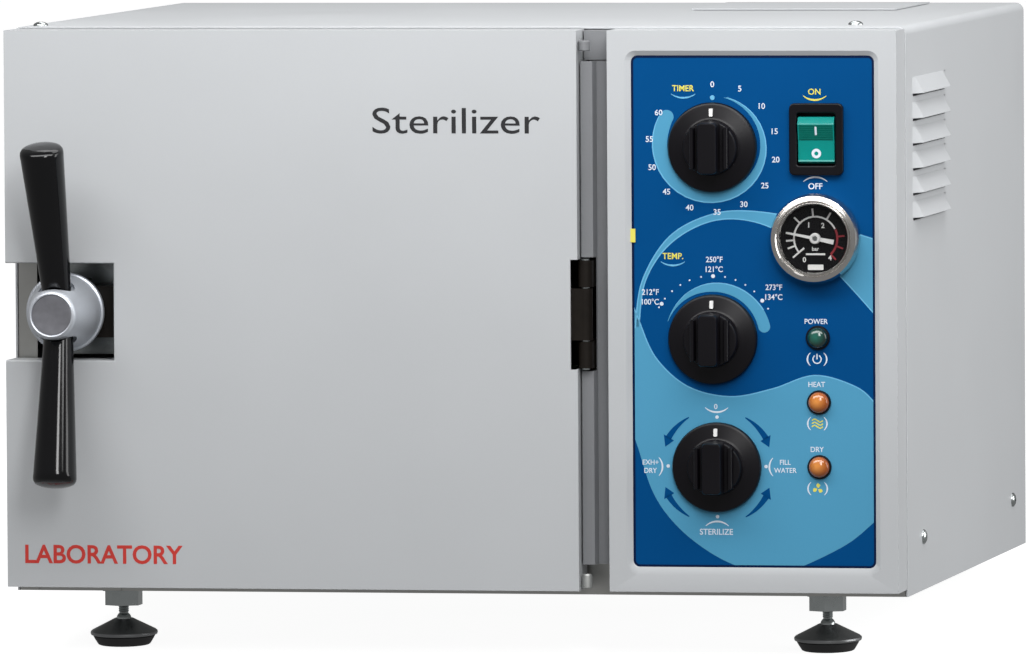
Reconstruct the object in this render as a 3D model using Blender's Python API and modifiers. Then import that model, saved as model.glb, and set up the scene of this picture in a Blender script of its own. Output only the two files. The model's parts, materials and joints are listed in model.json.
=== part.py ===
"""Benchtop autoclave with a side-hung door, built as separate sub-parts.

Everything is placed in the casing's own frame, which hangs on one empty: x runs to the
right, y from the casing's front edge to the rear, z up from the casing's underside.  The
empty leans the casing back a little, because the front stands on tall levelling feet and
the rear on short ones.  The floor is the plane z = 0 of the world.
"""

import math

import bmesh
import bpy
from mathutils import Matrix, Vector

# ---------------------------------------------------------------- driving dimensions (m)
CASE_W = 0.440            # casing width
CASE_D = 0.375            # casing depth
CASE_H = 0.275            # casing height
CASE_CORNER = 0.004       # bend along the casing's two top edges
SHEET = 0.0012            # casing sheet
GAP = 0.0003              # clearance between pieces that touch
LEAN = math.radians(2.8)  # the casing leans back by this much
ROOT_Y = -0.1685          # casing front edge in the world
ROOT_Z = 0.0304           # casing underside in the world, at its front edge

MID_Z = 0.137             # height of the chamber, the door bar and the closing handle
FACE_Y = -0.026           # front plane of the door and of the control fascia
SKIN = 0.0015             # wall of the door cover and of the fascia

HINGE_X = 0.0665          # upright hinge axis, in the gap between door and fascia
HINGE_Y = -0.0205
HANDLE_X = -0.191         # axis of the closing handle
HANDLE_TURN = math.radians(-1.9)   # the bars rest a little off the upright
HANDLE_RAKE = math.radians(17)     # the bars lean out from the door

CHAMBER_X = -0.062
CHAMBER_R = 0.0865        # inside radius
CHAMBER_END = 0.326       # inside depth
FLANGE_R = 0.100
FLANGE_T = 0.011

DOOR_X = (-0.219, 0.0635)
DOOR_Z = (0.0035, 0.2740)
DOOR_BACK = -0.004
NOTCH_X = -0.1653         # right wall of the notch that the handle stands in
NOTCH_Z = (0.1138, 0.1610)

FASCIA_X = (0.0785, 0.2195)
FASCIA_Z = (0.0035, 0.2740)
WINDOW_X = (0.0900, 0.2085)
WINDOW_Z = (0.0155, 0.2620)
OVERLAY_Y = (FACE_Y + SKIN + GAP, FACE_Y + SKIN + GAP + 0.002)

KNOB_R = 0.0217
KNOBS = {                 # name: (x, z)
    "timer": (0.1298, 0.2178),
    "thermostat": (0.1296, 0.1254),
    "valve": (0.1312, 0.0638),
}
GAUGE = (0.1799, 0.1742)
GAUGE_R = 0.0217
NEEDLE_REST = math.radians(-79)
SWITCH = (0.1805, 0.2218)
ROCKER_PIVOT_Y = -0.0200
ROCKER_TILT = math.radians(6)
LAMPS = {
    "ready_lamp": (0.1806, 0.1263, "lamp_green"),
    "heat_lamp": (0.1810, 0.0952, "lamp_amber"),
    "dry_lamp": (0.1811, 0.0641, "lamp_amber"),
}

LOUVRES = 6
LOUVRE_PITCH = 0.012
LOUVRE_LIP_Z = 0.182      # lip of the lowest louvre
LOUVRE_Y = (0.019, 0.120)

LID_X = (0.0715, 0.1750)
LID_Y = (0.2485, 0.3545)
TANK_X = (0.060, 0.206)
TANK_Y = (0.150, 0.358)
TANK_Z = (0.075, 0.2725)

FOOT_X = 0.1748
FOOT_Y = 0.035
REAR_FOOT_X = 0.165
REAR_FOOT_Y = 0.335
BALL_Z = -0.0170          # centre of the swivel ball under the front feet
BALL_H = 0.0117           # its height above the floor

INLET = (0.150, 0.046)    # mains inlet on the rear panel (x, z)
RELIEF = (0.020, 0.246)   # safety valve on the rear panel (x, z)
DRAIN = (-0.062, 0.026)   # drain stub on the rear panel (x, z)

MATERIALS = {             # name: (colour, metallic, roughness)
    "casing_enamel": ((0.70, 0.71, 0.71, 1), 0.0, 0.38),
    "front_enamel": ((0.68, 0.69, 0.70, 1), 0.0, 0.34),
    "inner_zinc": ((0.42, 0.43, 0.43, 1), 0.9, 0.45),
    "stainless": ((0.60, 0.60, 0.59, 1), 1.0, 0.28),
    "overlay_print": ((0.01, 0.08, 0.32, 1), 0.0, 0.35),
    "black_bakelite": ((0.012, 0.012, 0.013, 1), 0.0, 0.12),
    "knob_plastic": ((0.02, 0.02, 0.022, 1), 0.0, 0.42),
    "chrome": ((0.78, 0.79, 0.80, 1), 1.0, 0.12),
    "black_steel": ((0.03, 0.03, 0.032, 1), 0.4, 0.5),
    "zinc_steel": ((0.45, 0.47, 0.48, 1), 1.0, 0.35),
    "door_seal": ((0.50, 0.16, 0.07, 1), 0.0, 0.6),
    "insulation_wool": ((0.72, 0.68, 0.55, 1), 0.0, 0.95),
    "heater_mica": ((0.33, 0.26, 0.18, 1), 0.2, 0.6),
    "tank_plastic": ((0.75, 0.77, 0.76, 1), 0.0, 0.5),
    "component_plastic": ((0.08, 0.08, 0.09, 1), 0.0, 0.5),
    "brass": ((0.66, 0.48, 0.20, 1), 1.0, 0.3),
    "dial_black": ((0.012, 0.012, 0.014, 1), 0.0, 0.45),
    "needle_white": ((0.85, 0.85, 0.84, 1), 0.0, 0.4),
    "gauge_glass": ((0.9, 0.95, 0.95, 1), 0.0, 0.05),
    "rocker_green": ((0.02, 0.32, 0.12, 1), 0.0, 0.25),
    "lamp_green": ((0.10, 0.40, 0.22, 1), 0.0, 0.15),
    "lamp_amber": ((0.80, 0.25, 0.03, 1), 0.0, 0.15),
    "foot_rubber": ((0.015, 0.015, 0.015, 1), 0.0, 0.8),
}


# ------------------------------------------------------------------------ scene helpers
def clear_scene():
    for old in list(bpy.data.objects):
        bpy.data.objects.remove(old, do_unlink=True)


def collection(name):
    made = bpy.data.collections.new(name)
    bpy.context.scene.collection.children.link(made)
    return made


def material(name):
    found = bpy.data.materials.get(name)
    if found:
        return found
    colour, metallic, roughness = MATERIALS[name]
    made = bpy.data.materials.new(name)
    made.use_nodes = True
    shader = made.node_tree.nodes["Principled BSDF"]
    shader.inputs["Base Color"].default_value = colour
    shader.inputs["Metallic"].default_value = metallic
    shader.inputs["Roughness"].default_value = roughness
    return made


clear_scene()
PARTS = collection("benchtop_autoclave")
CUTTERS = collection("cutters")
ROOT = bpy.data.objects.new("casing_frame", None)
ROOT.location = (0, ROOT_Y, ROOT_Z)
ROOT.rotation_euler = (-LEAN, 0, 0)
PARTS.objects.link(ROOT)


def place(obj, name, slot, parent=ROOT):
    """Name an object and file it: as a part with a material, or as a cutter."""
    for owner in list(obj.users_collection):
        owner.objects.unlink(obj)
    obj.name = name
    obj.data.name = name
    obj.parent = parent
    if slot is None:
        CUTTERS.objects.link(obj)
        obj.display_type = "WIRE"
        obj.hide_render = True
    else:
        PARTS.objects.link(obj)
        obj.data.materials.clear()
        obj.data.materials.append(material(slot))
    return obj


def box(name, xs, ys, zs, slot=None, parent=ROOT):
    bpy.ops.mesh.primitive_cube_add(size=1)
    obj = bpy.context.object
    size = (xs[1] - xs[0], ys[1] - ys[0], zs[1] - zs[0])
    obj.data.transform(Matrix.Diagonal((*size, 1)))
    obj.location = ((xs[0] + xs[1]) / 2, (ys[0] + ys[1]) / 2, (zs[0] + zs[1]) / 2)
    return place(obj, name, slot, parent)


TURN_TO = {"x": (0, math.pi / 2, 0), "y": (math.pi / 2, 0, 0), "z": (0, 0, 0)}


def rod(name, centre, radius, length, axis, slot=None, sides=32, tip=None):
    """A cylinder, or a cone when tip is given, centred on a point."""
    tip = radius if tip is None else tip
    bpy.ops.mesh.primitive_cone_add(vertices=sides, radius1=radius, radius2=tip,
                                    depth=length)
    obj = bpy.context.object
    obj.location = centre
    obj.rotation_euler = TURN_TO[axis]
    return place(obj, name, slot)


def turned(name, profile, origin, axis, slot=None, steps=48, closed=False):
    """Turn a profile of (radius, height) points; along y the height points to the front."""
    mesh = bpy.data.meshes.new(name)
    shape = bmesh.new()
    points = [shape.verts.new((radius, 0, height)) for radius, height in profile]
    for first, second in zip(points, points[1:]):
        shape.edges.new((first, second))
    if closed:
        shape.edges.new((points[-1], points[0]))
    shape.to_mesh(mesh)
    shape.free()
    obj = bpy.data.objects.new(name, mesh)
    PARTS.objects.link(obj)
    screw = obj.modifiers.new("turn", "SCREW")
    screw.steps = screw.render_steps = steps
    screw.use_merge_vertices = True
    screw.merge_threshold = 1e-5
    obj.location = origin
    obj.rotation_euler = TURN_TO[axis]
    return place(obj, name, slot)


def arc(centre, radius, start, end, count):
    """Points on an arc, angles in degrees."""
    angles = [math.radians(start + (end - start) * i / count) for i in range(count + 1)]
    return [(centre[0] + radius * math.cos(a), centre[1] + radius * math.sin(a)) for a in angles]


def plate(name, outline, axis, low, high, slot=None):
    """A flat outline given a thickness; its points are (x, z), (x, y) or (y, z)."""
    curve = bpy.data.curves.new(name, "CURVE")
    curve.dimensions = "2D"
    curve.fill_mode = "BOTH"
    curve.extrude = (high - low) / 2
    spline = curve.splines.new("POLY")
    spline.points.add(len(outline) - 1)
    for point, (across, up) in zip(spline.points, outline):
        point.co = (across, up, 0, 1)
    spline.use_cyclic_u = True
    drawn = bpy.data.objects.new(name, curve)
    middle = (low + high) / 2
    drawn.location = {"x": (middle, 0, 0), "y": (0, middle, 0), "z": (0, 0, middle)}[axis]
    turns = {"x": (math.pi / 2, 0, math.pi / 2), "y": (math.pi / 2, 0, 0), "z": (0, 0, 0)}
    drawn.rotation_euler = turns[axis]
    PARTS.objects.link(drawn)
    bpy.context.view_layer.update()
    graph = bpy.context.evaluated_depsgraph_get()
    mesh = bpy.data.meshes.new_from_object(drawn.evaluated_get(graph))
    welded = bmesh.new()
    welded.from_mesh(mesh)
    bmesh.ops.remove_doubles(welded, verts=welded.verts, dist=1e-6)
    welded.to_mesh(mesh)
    welded.free()
    obj = bpy.data.objects.new(name, mesh)
    obj.matrix_world = drawn.matrix_world
    bpy.data.objects.remove(drawn, do_unlink=True)
    PARTS.objects.link(obj)
    return place(obj, name, slot)


def rounded(obj, width, segments=3, angle=math.radians(40)):
    bevel = obj.modifiers.new("round", "BEVEL")
    bevel.width = width
    bevel.segments = segments
    bevel.limit_method = "ANGLE"
    bevel.angle_limit = angle
    return obj


def boolean(obj, tool, operation):
    change = obj.modifiers.new(operation.lower(), "BOOLEAN")
    change.operation = operation
    change.solver = "EXACT"
    change.object = tool
    return obj


def cut(obj, *tools):
    for tool in tools:
        boolean(obj, tool, "DIFFERENCE")
    return obj


def join(obj, *tools):
    for tool in tools:
        boolean(obj, tool, "UNION")
    return obj


def pivot(obj, point):
    """Move an object's origin to a point on its joint's axis, leaving its shape in place."""
    here = obj.matrix_basis.inverted() @ Vector(point)
    obj.data.transform(Matrix.Translation(-here))
    obj.location = point
    return obj


# -------------------------------------------------------------------------------- casing
def louvre_cutter(name, section, slot_inset):
    """A row of louvre shapes on the right wall, mirrored to the left one."""
    ys = (LOUVRE_Y[0] + slot_inset, LOUVRE_Y[1] - slot_inset)
    wall = CASE_W / 2
    outline = [(wall + out, LOUVRE_LIP_Z + up) for out, up in section]
    row = plate(name, outline, "y", ys[0], ys[1])
    row.data.transform(row.matrix_basis)
    row.matrix_basis = Matrix.Identity(4)
    stack = row.modifiers.new("row", "ARRAY")
    stack.count = LOUVRES
    stack.use_relative_offset = False
    stack.use_constant_offset = True
    stack.constant_offset_displace = (0, 0, LOUVRE_PITCH)
    row.modifiers.new("both_sides", "MIRROR")
    return row


def outer_cover():
    half, corner = CASE_W / 2, CASE_CORNER
    outside = [(half, 0)]
    outside += arc((half - corner, CASE_H - corner), corner, 0, 90, 5)
    outside += arc((corner - half, CASE_H - corner), corner, 90, 180, 5)
    outside += [(-half, 0)]
    inside = [(SHEET - half, 0)]
    inner = corner - SHEET
    inside += arc((corner - half, CASE_H - corner), inner, 180, 90, 4)
    inside += arc((half - corner, CASE_H - corner), inner, 90, 0, 4)
    inside += [(half - SHEET, 0)]
    cover = plate("outer_cover", outside + inside, "y", 0, CASE_D, "casing_enamel")
    hood = [(-0.0008, 0.0080), (0.0040, 0.0030), (0.0040, 0.0), (-0.0008, 0.0)]
    slot = [(-0.0030, 0.0074), (-0.0012, 0.0070), (0.0031, 0.0025), (0.0031, -0.0005),
            (-0.0030, -0.0005)]
    join(cover, louvre_cutter("louvre_hoods", hood, 0))
    cut(cover, louvre_cutter("louvre_slots", slot, 0.001))
    mouth = box("filling_mouth", (LID_X[0] + 0.002, LID_X[1] - 0.002),
                (LID_Y[0] + 0.002, LID_Y[1] - 0.002), (CASE_H - 0.01, CASE_H + 0.01))
    cut(cover, mouth)


def tray(name, xs, ys, zs, wall, slot):
    """An open-topped sheet or moulded box."""
    body = box(name, xs, ys, zs, slot)
    hollow = box(name + "_hollow", (xs[0] + wall, xs[1] - wall),
                 (ys[0] + wall, ys[1] - wall), (zs[0] + wall, zs[1] + 0.01))
    return cut(body, hollow)


def casing():
    inside_x = (SHEET + GAP - CASE_W / 2, CASE_W / 2 - SHEET - GAP)
    outer_cover()
    tray("base_pan", inside_x, (0.0022, CASE_D - 0.0022), (0, 0.014), SHEET, "inner_zinc")

    top = CASE_H - CASE_CORNER
    sheet_y = (0.0007, 0.0019)
    seam = -0.1680
    front = box("front_panel", (seam, inside_x[1]), sheet_y, (0, top), "stainless")
    side_room = box("latch_hole", (-0.209, -0.150), (-0.01, 0.01),
                    (MID_Z - 0.025, MID_Z + 0.025))
    cut(front,
        rod("chamber_hole", (CHAMBER_X, 0, MID_Z), FLANGE_R + 0.0035, 0.02, "y", sides=48),
        side_room,
        box("hinge_hole", (0.030, 0.079), (-0.01, 0.01), (MID_Z - 0.028, MID_Z + 0.028)),
        box("control_hole", (0.085, 0.213), (-0.01, 0.01), (0.010, 0.262)))

    post_x = (inside_x[0], seam - GAP)
    box("latch_post", (post_x[0], -0.2093), sheet_y, (0, top), "stainless")
    web_x = (-0.2090, post_x[1])
    box("latch_web_upper", web_x, sheet_y, (MID_Z + 0.025, top), "stainless")
    box("latch_web_lower", web_x, sheet_y, (0, MID_Z - 0.025), "stainless")

    rear_y = (CASE_D - 0.0019, CASE_D - 0.0007)
    rear = box("rear_panel", inside_x, rear_y, (0, top), "casing_enamel")
    cut(rear,
        box("inlet_hole", (INLET[0] - 0.0142, INLET[0] + 0.0142), (0.36, 0.39),
            (INLET[1] - 0.0107, INLET[1] + 0.0107)),
        rod("relief_hole", (RELIEF[0], CASE_D, RELIEF[1]), 0.0055, 0.03, "y", sides=24),
        rod("drain_hole", (DRAIN[0], CASE_D, DRAIN[1]), 0.0047, 0.03, "y", sides=24))

    strip = box("gap_strip", (0.0642, 0.0775), (-0.0200, 0.0003), (0.016, 0.259),
                "front_enamel")
    cut(strip,
        box("strip_notch", (0.060, 0.0708), (-0.03, 0.01), (0.1095, 0.1645)),
        box("strip_hollow", (0.0657, 0.0760), (-0.0185, 0.01), (0.0, 0.3)))


# ------------------------------------------------------------------------------- chamber
def chamber():
    origin = (CHAMBER_X, 0, MID_Z)
    wall = 0.002
    tube = CHAMBER_R + wall
    end = CHAMBER_END
    inner = [(0, -end), (0.050, 0.004 - end), (0.076, 0.012 - end), (CHAMBER_R, 0.026 - end),
             (CHAMBER_R, 0)]
    outer = [(FLANGE_R, 0), (FLANGE_R, -FLANGE_T), (tube, -FLANGE_T), (tube, 0.025 - end),
             (0.078, 0.010 - end), (0.051, 0.001 - end), (0, -end - 0.004)]
    turned("chamber_vessel", inner + outer, origin, "y", "stainless", steps=64)
    turned("heater_band", [(tube + 0.0035, -0.100), (tube + 0.0035, -0.200),
                           (tube + GAP, -0.200), (tube + GAP, -0.100)],
           origin, "y", "heater_mica", closed=True)
    turned("chamber_insulation", [(0.108, -0.030), (0.108, -0.296), (0.0925, -0.296),
                                  (0.0925, -0.030)],
           origin, "y", "insulation_wool", closed=True)

    latch = box("latch_plate", (-0.206, -0.153), (0.0113, 0.0173),
                (MID_Z - 0.022, MID_Z + 0.022), "zinc_steel")
    cut(latch, box("latch_slot", (HANDLE_X - 0.0065, HANDLE_X + 0.0065), (0, 0.03),
                   (MID_Z - 0.015, MID_Z + 0.015)))

    lug = 0.0035
    axis = (HINGE_X, HINGE_Y)
    arm_x = (HINGE_X - lug, HINGE_X + lug)
    outline = [(0.030, 0.0113), (arm_x[0], 0.0113)]
    outline += arc(axis, lug, 180, 360, 12)
    outline += [(arm_x[1], 0.0173), (0.030, 0.0173)]
    bracket = plate("hinge_bracket", outline, "z", MID_Z - 0.026, MID_Z + 0.026,
                    "black_steel")
    cut(bracket,
        box("knuckle_room", (0.060, 0.080), (-0.030, 0.008),
            (MID_Z - 0.0131, MID_Z + 0.0131)),
        rod("lug_bore", (*axis, MID_Z), 0.0023, 0.08, "z", sides=24))
    rod("hinge_pin", (*axis, MID_Z), 0.0020, 0.0535, "z", "zinc_steel", sides=24)


# ---------------------------------------------------------------------------------- door
def door_cover():
    back = DOOR_BACK
    cover = box("door_cover", DOOR_X, (FACE_Y, back), DOOR_Z, "front_enamel")
    rounded(cover, 0.003)
    hollow = box("door_hollow", (DOOR_X[0] + SKIN, DOOR_X[1] - SKIN), (FACE_Y + SKIN, 0.01),
                 (DOOR_Z[0] + SKIN, DOOR_Z[1] - SKIN))
    cut(hollow, box("notch_walls", (-0.25, NOTCH_X + SKIN), (-0.05, 0.02),
                    (NOTCH_Z[0] - SKIN, NOTCH_Z[1] + SKIN)))
    cut(cover, hollow,
        box("handle_notch", (-0.24, NOTCH_X), (-0.05, 0.02), NOTCH_Z),
        box("bar_slot", (NOTCH_X - 0.002, NOTCH_X + 0.003), (-0.0165, 0.01),
            (MID_Z - 0.0140, MID_Z + 0.0140)),
        box("hinge_notch", (0.0600, 0.070), (-0.05, 0.02), (0.1105, 0.1635)))
    pivot(cover, (HINGE_X, HINGE_Y, MID_Z))


def door():
    door_cover()
    axis = (HINGE_X, HINGE_Y)
    front, back = -0.0155, -0.0085
    knuckle = 0.0035
    outline = [(-0.206, front), (0.046, front), (0.052, HINGE_Y - knuckle)]
    outline += arc(axis, knuckle, 270, 450, 10)
    outline += [(0.0575, HINGE_Y + knuckle), (0.0515, back), (-0.206, back)]
    bar = plate("door_bar", outline, "z", MID_Z - 0.0125, MID_Z + 0.0125, "black_steel")
    cut(bar,
        rod("knuckle_bore", (*axis, MID_Z), 0.0023, 0.08, "z", sides=24),
        rod("spindle_bore", (HANDLE_X, -0.012, MID_Z), 0.0045, 0.03, "y", sides=24))
    pivot(bar, (HINGE_X, HINGE_Y, MID_Z))

    centre = (CHAMBER_X, 0, MID_Z)
    turned("door_disc", [(0, 0.0080), (0.090, 0.0080), (0.095, 0.0065), (0.095, 0.0010),
                         (0.0936, 0.0010), (0.0936, 0.0046), (0.0869, 0.0046),
                         (0.0869, 0.0010), (0, 0.0010)], centre, "y", "stainless", steps=64)
    turned("door_gasket", [(0.0933, 0.0043), (0.0933, 0.0003), (0.0872, 0.0003),
                           (0.0872, 0.0043)], centre, "y", "door_seal", closed=True)
    rod("door_centre_nut", (CHAMBER_X, -0.0190, MID_Z), 0.0105, 0.0064, "y", "zinc_steel",
        sides=6)
    for name in ("door_disc", "door_gasket", "door_centre_nut"):
        pivot_by_object(name, (HINGE_X, HINGE_Y, MID_Z))


def pivot_by_object(name, point):
    """Give a turned or primitive piece the door's pivot through a parent empty."""
    holder = bpy.data.objects.get("door_pivot")
    if holder is None:
        holder = bpy.data.objects.new("door_pivot", None)
        holder.location = point
        holder.parent = ROOT
        PARTS.objects.link(holder)
    obj = bpy.data.objects[name]
    obj.parent = holder
    obj.location = Vector(obj.location) - Vector(point)


def closing_handle():
    """The screwed closing device: T-headed bolt, hub and two bars."""
    axis = (HANDLE_X, 0, MID_Z)
    bolt = rod("closing_bolt", (HANDLE_X, -0.0080, MID_Z), 0.004, 0.064, "y", "zinc_steel",
               sides=24)
    join(bolt, box("tee_head", (HANDLE_X - 0.0035, HANDLE_X + 0.0035), (0.0190, 0.0243),
                   (MID_Z - 0.013, MID_Z + 0.013)))
    profile = [(0.0043, 0.0405), (0.0043, 0.0160), (0.0175, 0.0160), (0.0193, 0.0172),
               (0.0193, 0.0190), (0.0182, 0.0200), (0.0120, 0.0470), (0.0117, 0.0500),
               (0.0100, 0.0508), (0, 0.0504)]
    profile = profile[::-1] + [(0, 0.0405)]
    hub = turned("handle_hub", profile, axis, "y", "chrome", steps=40)
    crossing = Vector((HANDLE_X, -0.0319, MID_Z))
    for name, side in (("handle_bar_upper", 1), ("handle_bar_lower", -1)):
        upright = Vector((0, -math.sin(HANDLE_RAKE), side * math.cos(HANDLE_RAKE)))
        along = Matrix.Rotation(HANDLE_TURN, 3, "Y") @ upright
        spin = Vector((0, 0, 1)).rotation_difference(along).to_euler()
        base, tip = 0.0112, 0.0862
        bar = turned(name, [(0, tip), (0.0070, tip - 0.0008), (0.0100, tip - 0.0026),
                            (0.0106, tip - 0.0045), (0.0071, base), (0, base)],
                     crossing, "z", "black_bakelite", steps=32)
        bar.rotation_euler = spin
        seat = rod(name + "_seat", crossing + along * (base - GAP + 0.010), 0.0077, 0.020,
                   "z", sides=32)
        seat.rotation_euler = spin
        cut(hub, seat)


# ------------------------------------------------------------------------------ controls
def fascia():
    shell = box("control_fascia", FASCIA_X, (FACE_Y, -0.0005), FASCIA_Z, "front_enamel")
    rounded(shell, 0.003)
    hollow = box("fascia_hollow", (FASCIA_X[0] + SKIN, FASCIA_X[1] - SKIN),
                 (FACE_Y + SKIN, 0.01), (FASCIA_Z[0] + SKIN, FASCIA_Z[1] - SKIN))
    window = box("fascia_window", WINDOW_X, (FACE_Y - 0.001, FACE_Y + 0.003), WINDOW_Z)
    flare = 1.04
    for vertex in window.data.vertices:
        if vertex.co.y < 0:
            vertex.co.x *= flare
            vertex.co.z *= 1 + (flare - 1) / 2
    cut(shell, hollow, window)

    margin = 0.0015
    panel = box("control_overlay", (WINDOW_X[0] - margin, WINDOW_X[1] + margin), OVERLAY_Y,
                (WINDOW_Z[0] - margin, WINDOW_Z[1] + margin), "overlay_print")
    holes = [rod(name + "_shaft_hole", (x, OVERLAY_Y[0], z), 0.004, 0.02, "y", sides=24)
             for name, (x, z) in KNOBS.items()]
    holes += [rod(name + "_hole", (x, OVERLAY_Y[0], z), 0.0042, 0.02, "y", sides=24)
              for name, (x, z, _) in LAMPS.items()]
    holes.append(rod("gauge_hole", (GAUGE[0], OVERLAY_Y[0], GAUGE[1]), 0.0193, 0.02, "y",
                     sides=48))
    holes.append(box("switch_hole", (SWITCH[0] - 0.0113, SWITCH[0] + 0.0113), (-0.04, 0),
                     (SWITCH[1] - 0.0147, SWITCH[1] + 0.0147)))
    cut(panel, *holes)


def knob(name, x, z):
    """A skirted knob with a raised grip, on its own shaft."""
    back = -OVERLAY_Y[0] + GAP
    skirt = [(0, back + 0.0100), (0.0133, back + 0.0100), (0.0133, back + 0.0058),
             (0.0190, back + 0.0050), (KNOB_R, back + 0.0030), (KNOB_R, back), (0, back)]
    body = turned(name + "_knob", skirt, (x, 0, z), "y", "knob_plastic", steps=40)
    grip = box(name + "_grip", (x - 0.0050, x + 0.0050), (-back - 0.0175, -back - 0.0060),
               (z - 0.0125, z + 0.0125))
    bore = rod(name + "_knob_bore", (x, -back, z), 0.0033, 0.012, "y", sides=20)
    cut(join(body, grip), bore)
    rod(name + "_shaft", (x, -back + 0.0055, z), 0.003, 0.0220, "y", "zinc_steel", sides=20)


def control_bodies():
    face = OVERLAY_Y[1] + GAP
    x, z = KNOBS["timer"]
    timer = box("timer_body", (x - 0.022, x + 0.022), (face, 0.006), (z - 0.022, z + 0.022),
                "component_plastic")
    thermostat = rod("thermostat_body", (KNOBS["thermostat"][0], (face + 0.010) / 2,
                                         KNOBS["thermostat"][1]),
                     0.020, 0.010 - face, "y", "component_plastic")
    x, z = KNOBS["valve"]
    valve = box("valve_body", (x - 0.020, x + 0.020), (face, 0.026), (z - 0.020, z + 0.020),
                "brass")
    for body, name in ((timer, "timer"), (thermostat, "thermostat"), (valve, "valve")):
        x, z = KNOBS[name]
        cut(body, rod(name + "_body_bore", (x, -0.016, z), 0.0036, 0.022, "y", sides=20))


def gauge():
    x, z = GAUGE
    rim = -OVERLAY_Y[0] + GAP
    cup = [(0, 0.0245), (0.0172, 0.0245), (0.0172, 0.0306), (0.0164, 0.0312),
           (0.0185, 0.0335), (0.0206, 0.0326), (GAUGE_R, 0.0295), (GAUGE_R, rim),
           (0.0190, rim), (0.0190, -0.0030), (0, -0.0030)]
    turned("gauge_case", cup, (x, 0, z), "y", "chrome")
    rod("gauge_dial", (x, -0.0253, z), 0.0169, 0.0010, "y", "dial_black", sides=48)
    rod("gauge_glass", (x, -0.0297, z), 0.0169, 0.0010, "y", "gauge_glass", sides=48)
    needle = rod("gauge_needle", (x, -0.0272, z), 0.0023, 0.0020, "y", "needle_white",
                 sides=20)
    pointer = box("needle_pointer", (-0.0005, 0.0005), (-0.0276, -0.0270), (-0.0090, 0.0150))
    pointer.data.transform(Matrix.Translation((0, 0, 0.0030)))
    pointer.location = (x, -0.0273, z)
    pointer.rotation_euler = (0, NEEDLE_REST, 0)
    join(needle, pointer)


def power_switch():
    x, z = SWITCH
    front = -0.0272
    frame = box("switch_frame", (x - 0.0131, x + 0.0131), (front, OVERLAY_Y[0] - GAP),
                (z - 0.0173, z + 0.0173), "knob_plastic")
    join(frame, box("switch_case", (x - 0.0110, x + 0.0110), (OVERLAY_Y[0] - 0.001, -0.002),
                    (z - 0.0144, z + 0.0144)))
    cut(frame, box("switch_hollow", (x - 0.0094, x + 0.0094), (-0.04, -0.0160),
                   (z - 0.0127, z + 0.0127)))
    half = 0.0112
    reach = ROCKER_PIVOT_Y
    side = [(reach - 0.0066, -half), (reach - 0.0078, 0), (reach - 0.0066, half),
            (reach, half), (reach, -half)]
    rocker = plate("power_rocker", [(y - reach, up) for y, up in side], "x",
                   x - 0.0090, x + 0.0090, "rocker_green")
    rocker.location = (x, ROCKER_PIVOT_Y, z)
    rocker.rotation_euler.rotate_axis("Z", ROCKER_TILT)


def lamps():
    for name, (x, z, slot) in LAMPS.items():
        seat = -OVERLAY_Y[0] + GAP
        lens = [(0, seat + 0.0042), (0.0024, seat + 0.0039), (0.0043, seat + 0.0028),
                (0.0054, seat + 0.0008), (0.0054, seat), (0.0039, seat), (0.0039, 0.0100),
                (0, 0.0100)]
        turned(name, lens, (x, 0, z), "y", slot, steps=24)


# -------------------------------------------------------------------------- water filling
def filling():
    tray("water_reservoir", TANK_X, TANK_Y, TANK_Z, 0.002, "tank_plastic")
    lid = box("reservoir_lid", LID_X, LID_Y, (CASE_H + GAP, CASE_H + 0.0018),
              "casing_enamel")
    plug = 0.0032
    walls = box("lid_plug", (LID_X[0] + plug, LID_X[1] - plug),
                (LID_Y[0] + plug, LID_Y[1] - plug), (CASE_H - 0.0075, CASE_H + 0.0010))
    inset = plug + 0.0018
    hollow = box("lid_hollow", (LID_X[0] + inset, LID_X[1] - inset),
                 (LID_Y[0] + inset, LID_Y[1] - inset), (CASE_H - 0.02, CASE_H + 0.0003))
    cut(join(lid, walls), hollow)


# ------------------------------------------------------------------------- rear and feet
def rear_fittings():
    x, z = INLET
    wall_y = CASE_D - 0.0007
    inlet = box("mains_inlet", (x - 0.0155, x + 0.0155), (wall_y + GAP, wall_y + 0.0028),
                (z - 0.0200, z + 0.0200), "component_plastic")
    join(inlet, box("inlet_case", (x - 0.0139, x + 0.0139), (wall_y - 0.018, wall_y + 0.001),
                    (z - 0.0104, z + 0.0104)))
    cut(inlet, box("inlet_socket", (x - 0.0120, x + 0.0120), (wall_y - 0.0160, 0.40),
                   (z - 0.0085, z + 0.0085)))

    x, z = RELIEF
    start = -wall_y - GAP
    turned("safety_valve", [(0, 0.012 - CASE_D), (0.0052, 0.012 - CASE_D), (0.0052, start),
                            (0.0095, start), (0.0095, start - 0.005), (0.0060, start - 0.005),
                            (0.0060, start - 0.010), (0, start - 0.010)],
           (x, 0, z), "y", "brass", steps=24)
    turned("safety_valve_knob", [(0, start - 0.0104), (0.0072, start - 0.0104),
                                 (0.0072, start - 0.0134), (0, start - 0.0134)],
           (x, 0, z), "y", "brass", steps=24)
    x, z = DRAIN
    turned("drain_stub", [(0, 0.012 - CASE_D), (0.0044, 0.012 - CASE_D), (0.0044, start),
                          (0.0080, start), (0.0080, start - 0.004), (0.0048, start - 0.004),
                          (0.0048, start - 0.012), (0, start - 0.012)],
           (x, 0, z), "y", "brass", steps=24)


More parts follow.
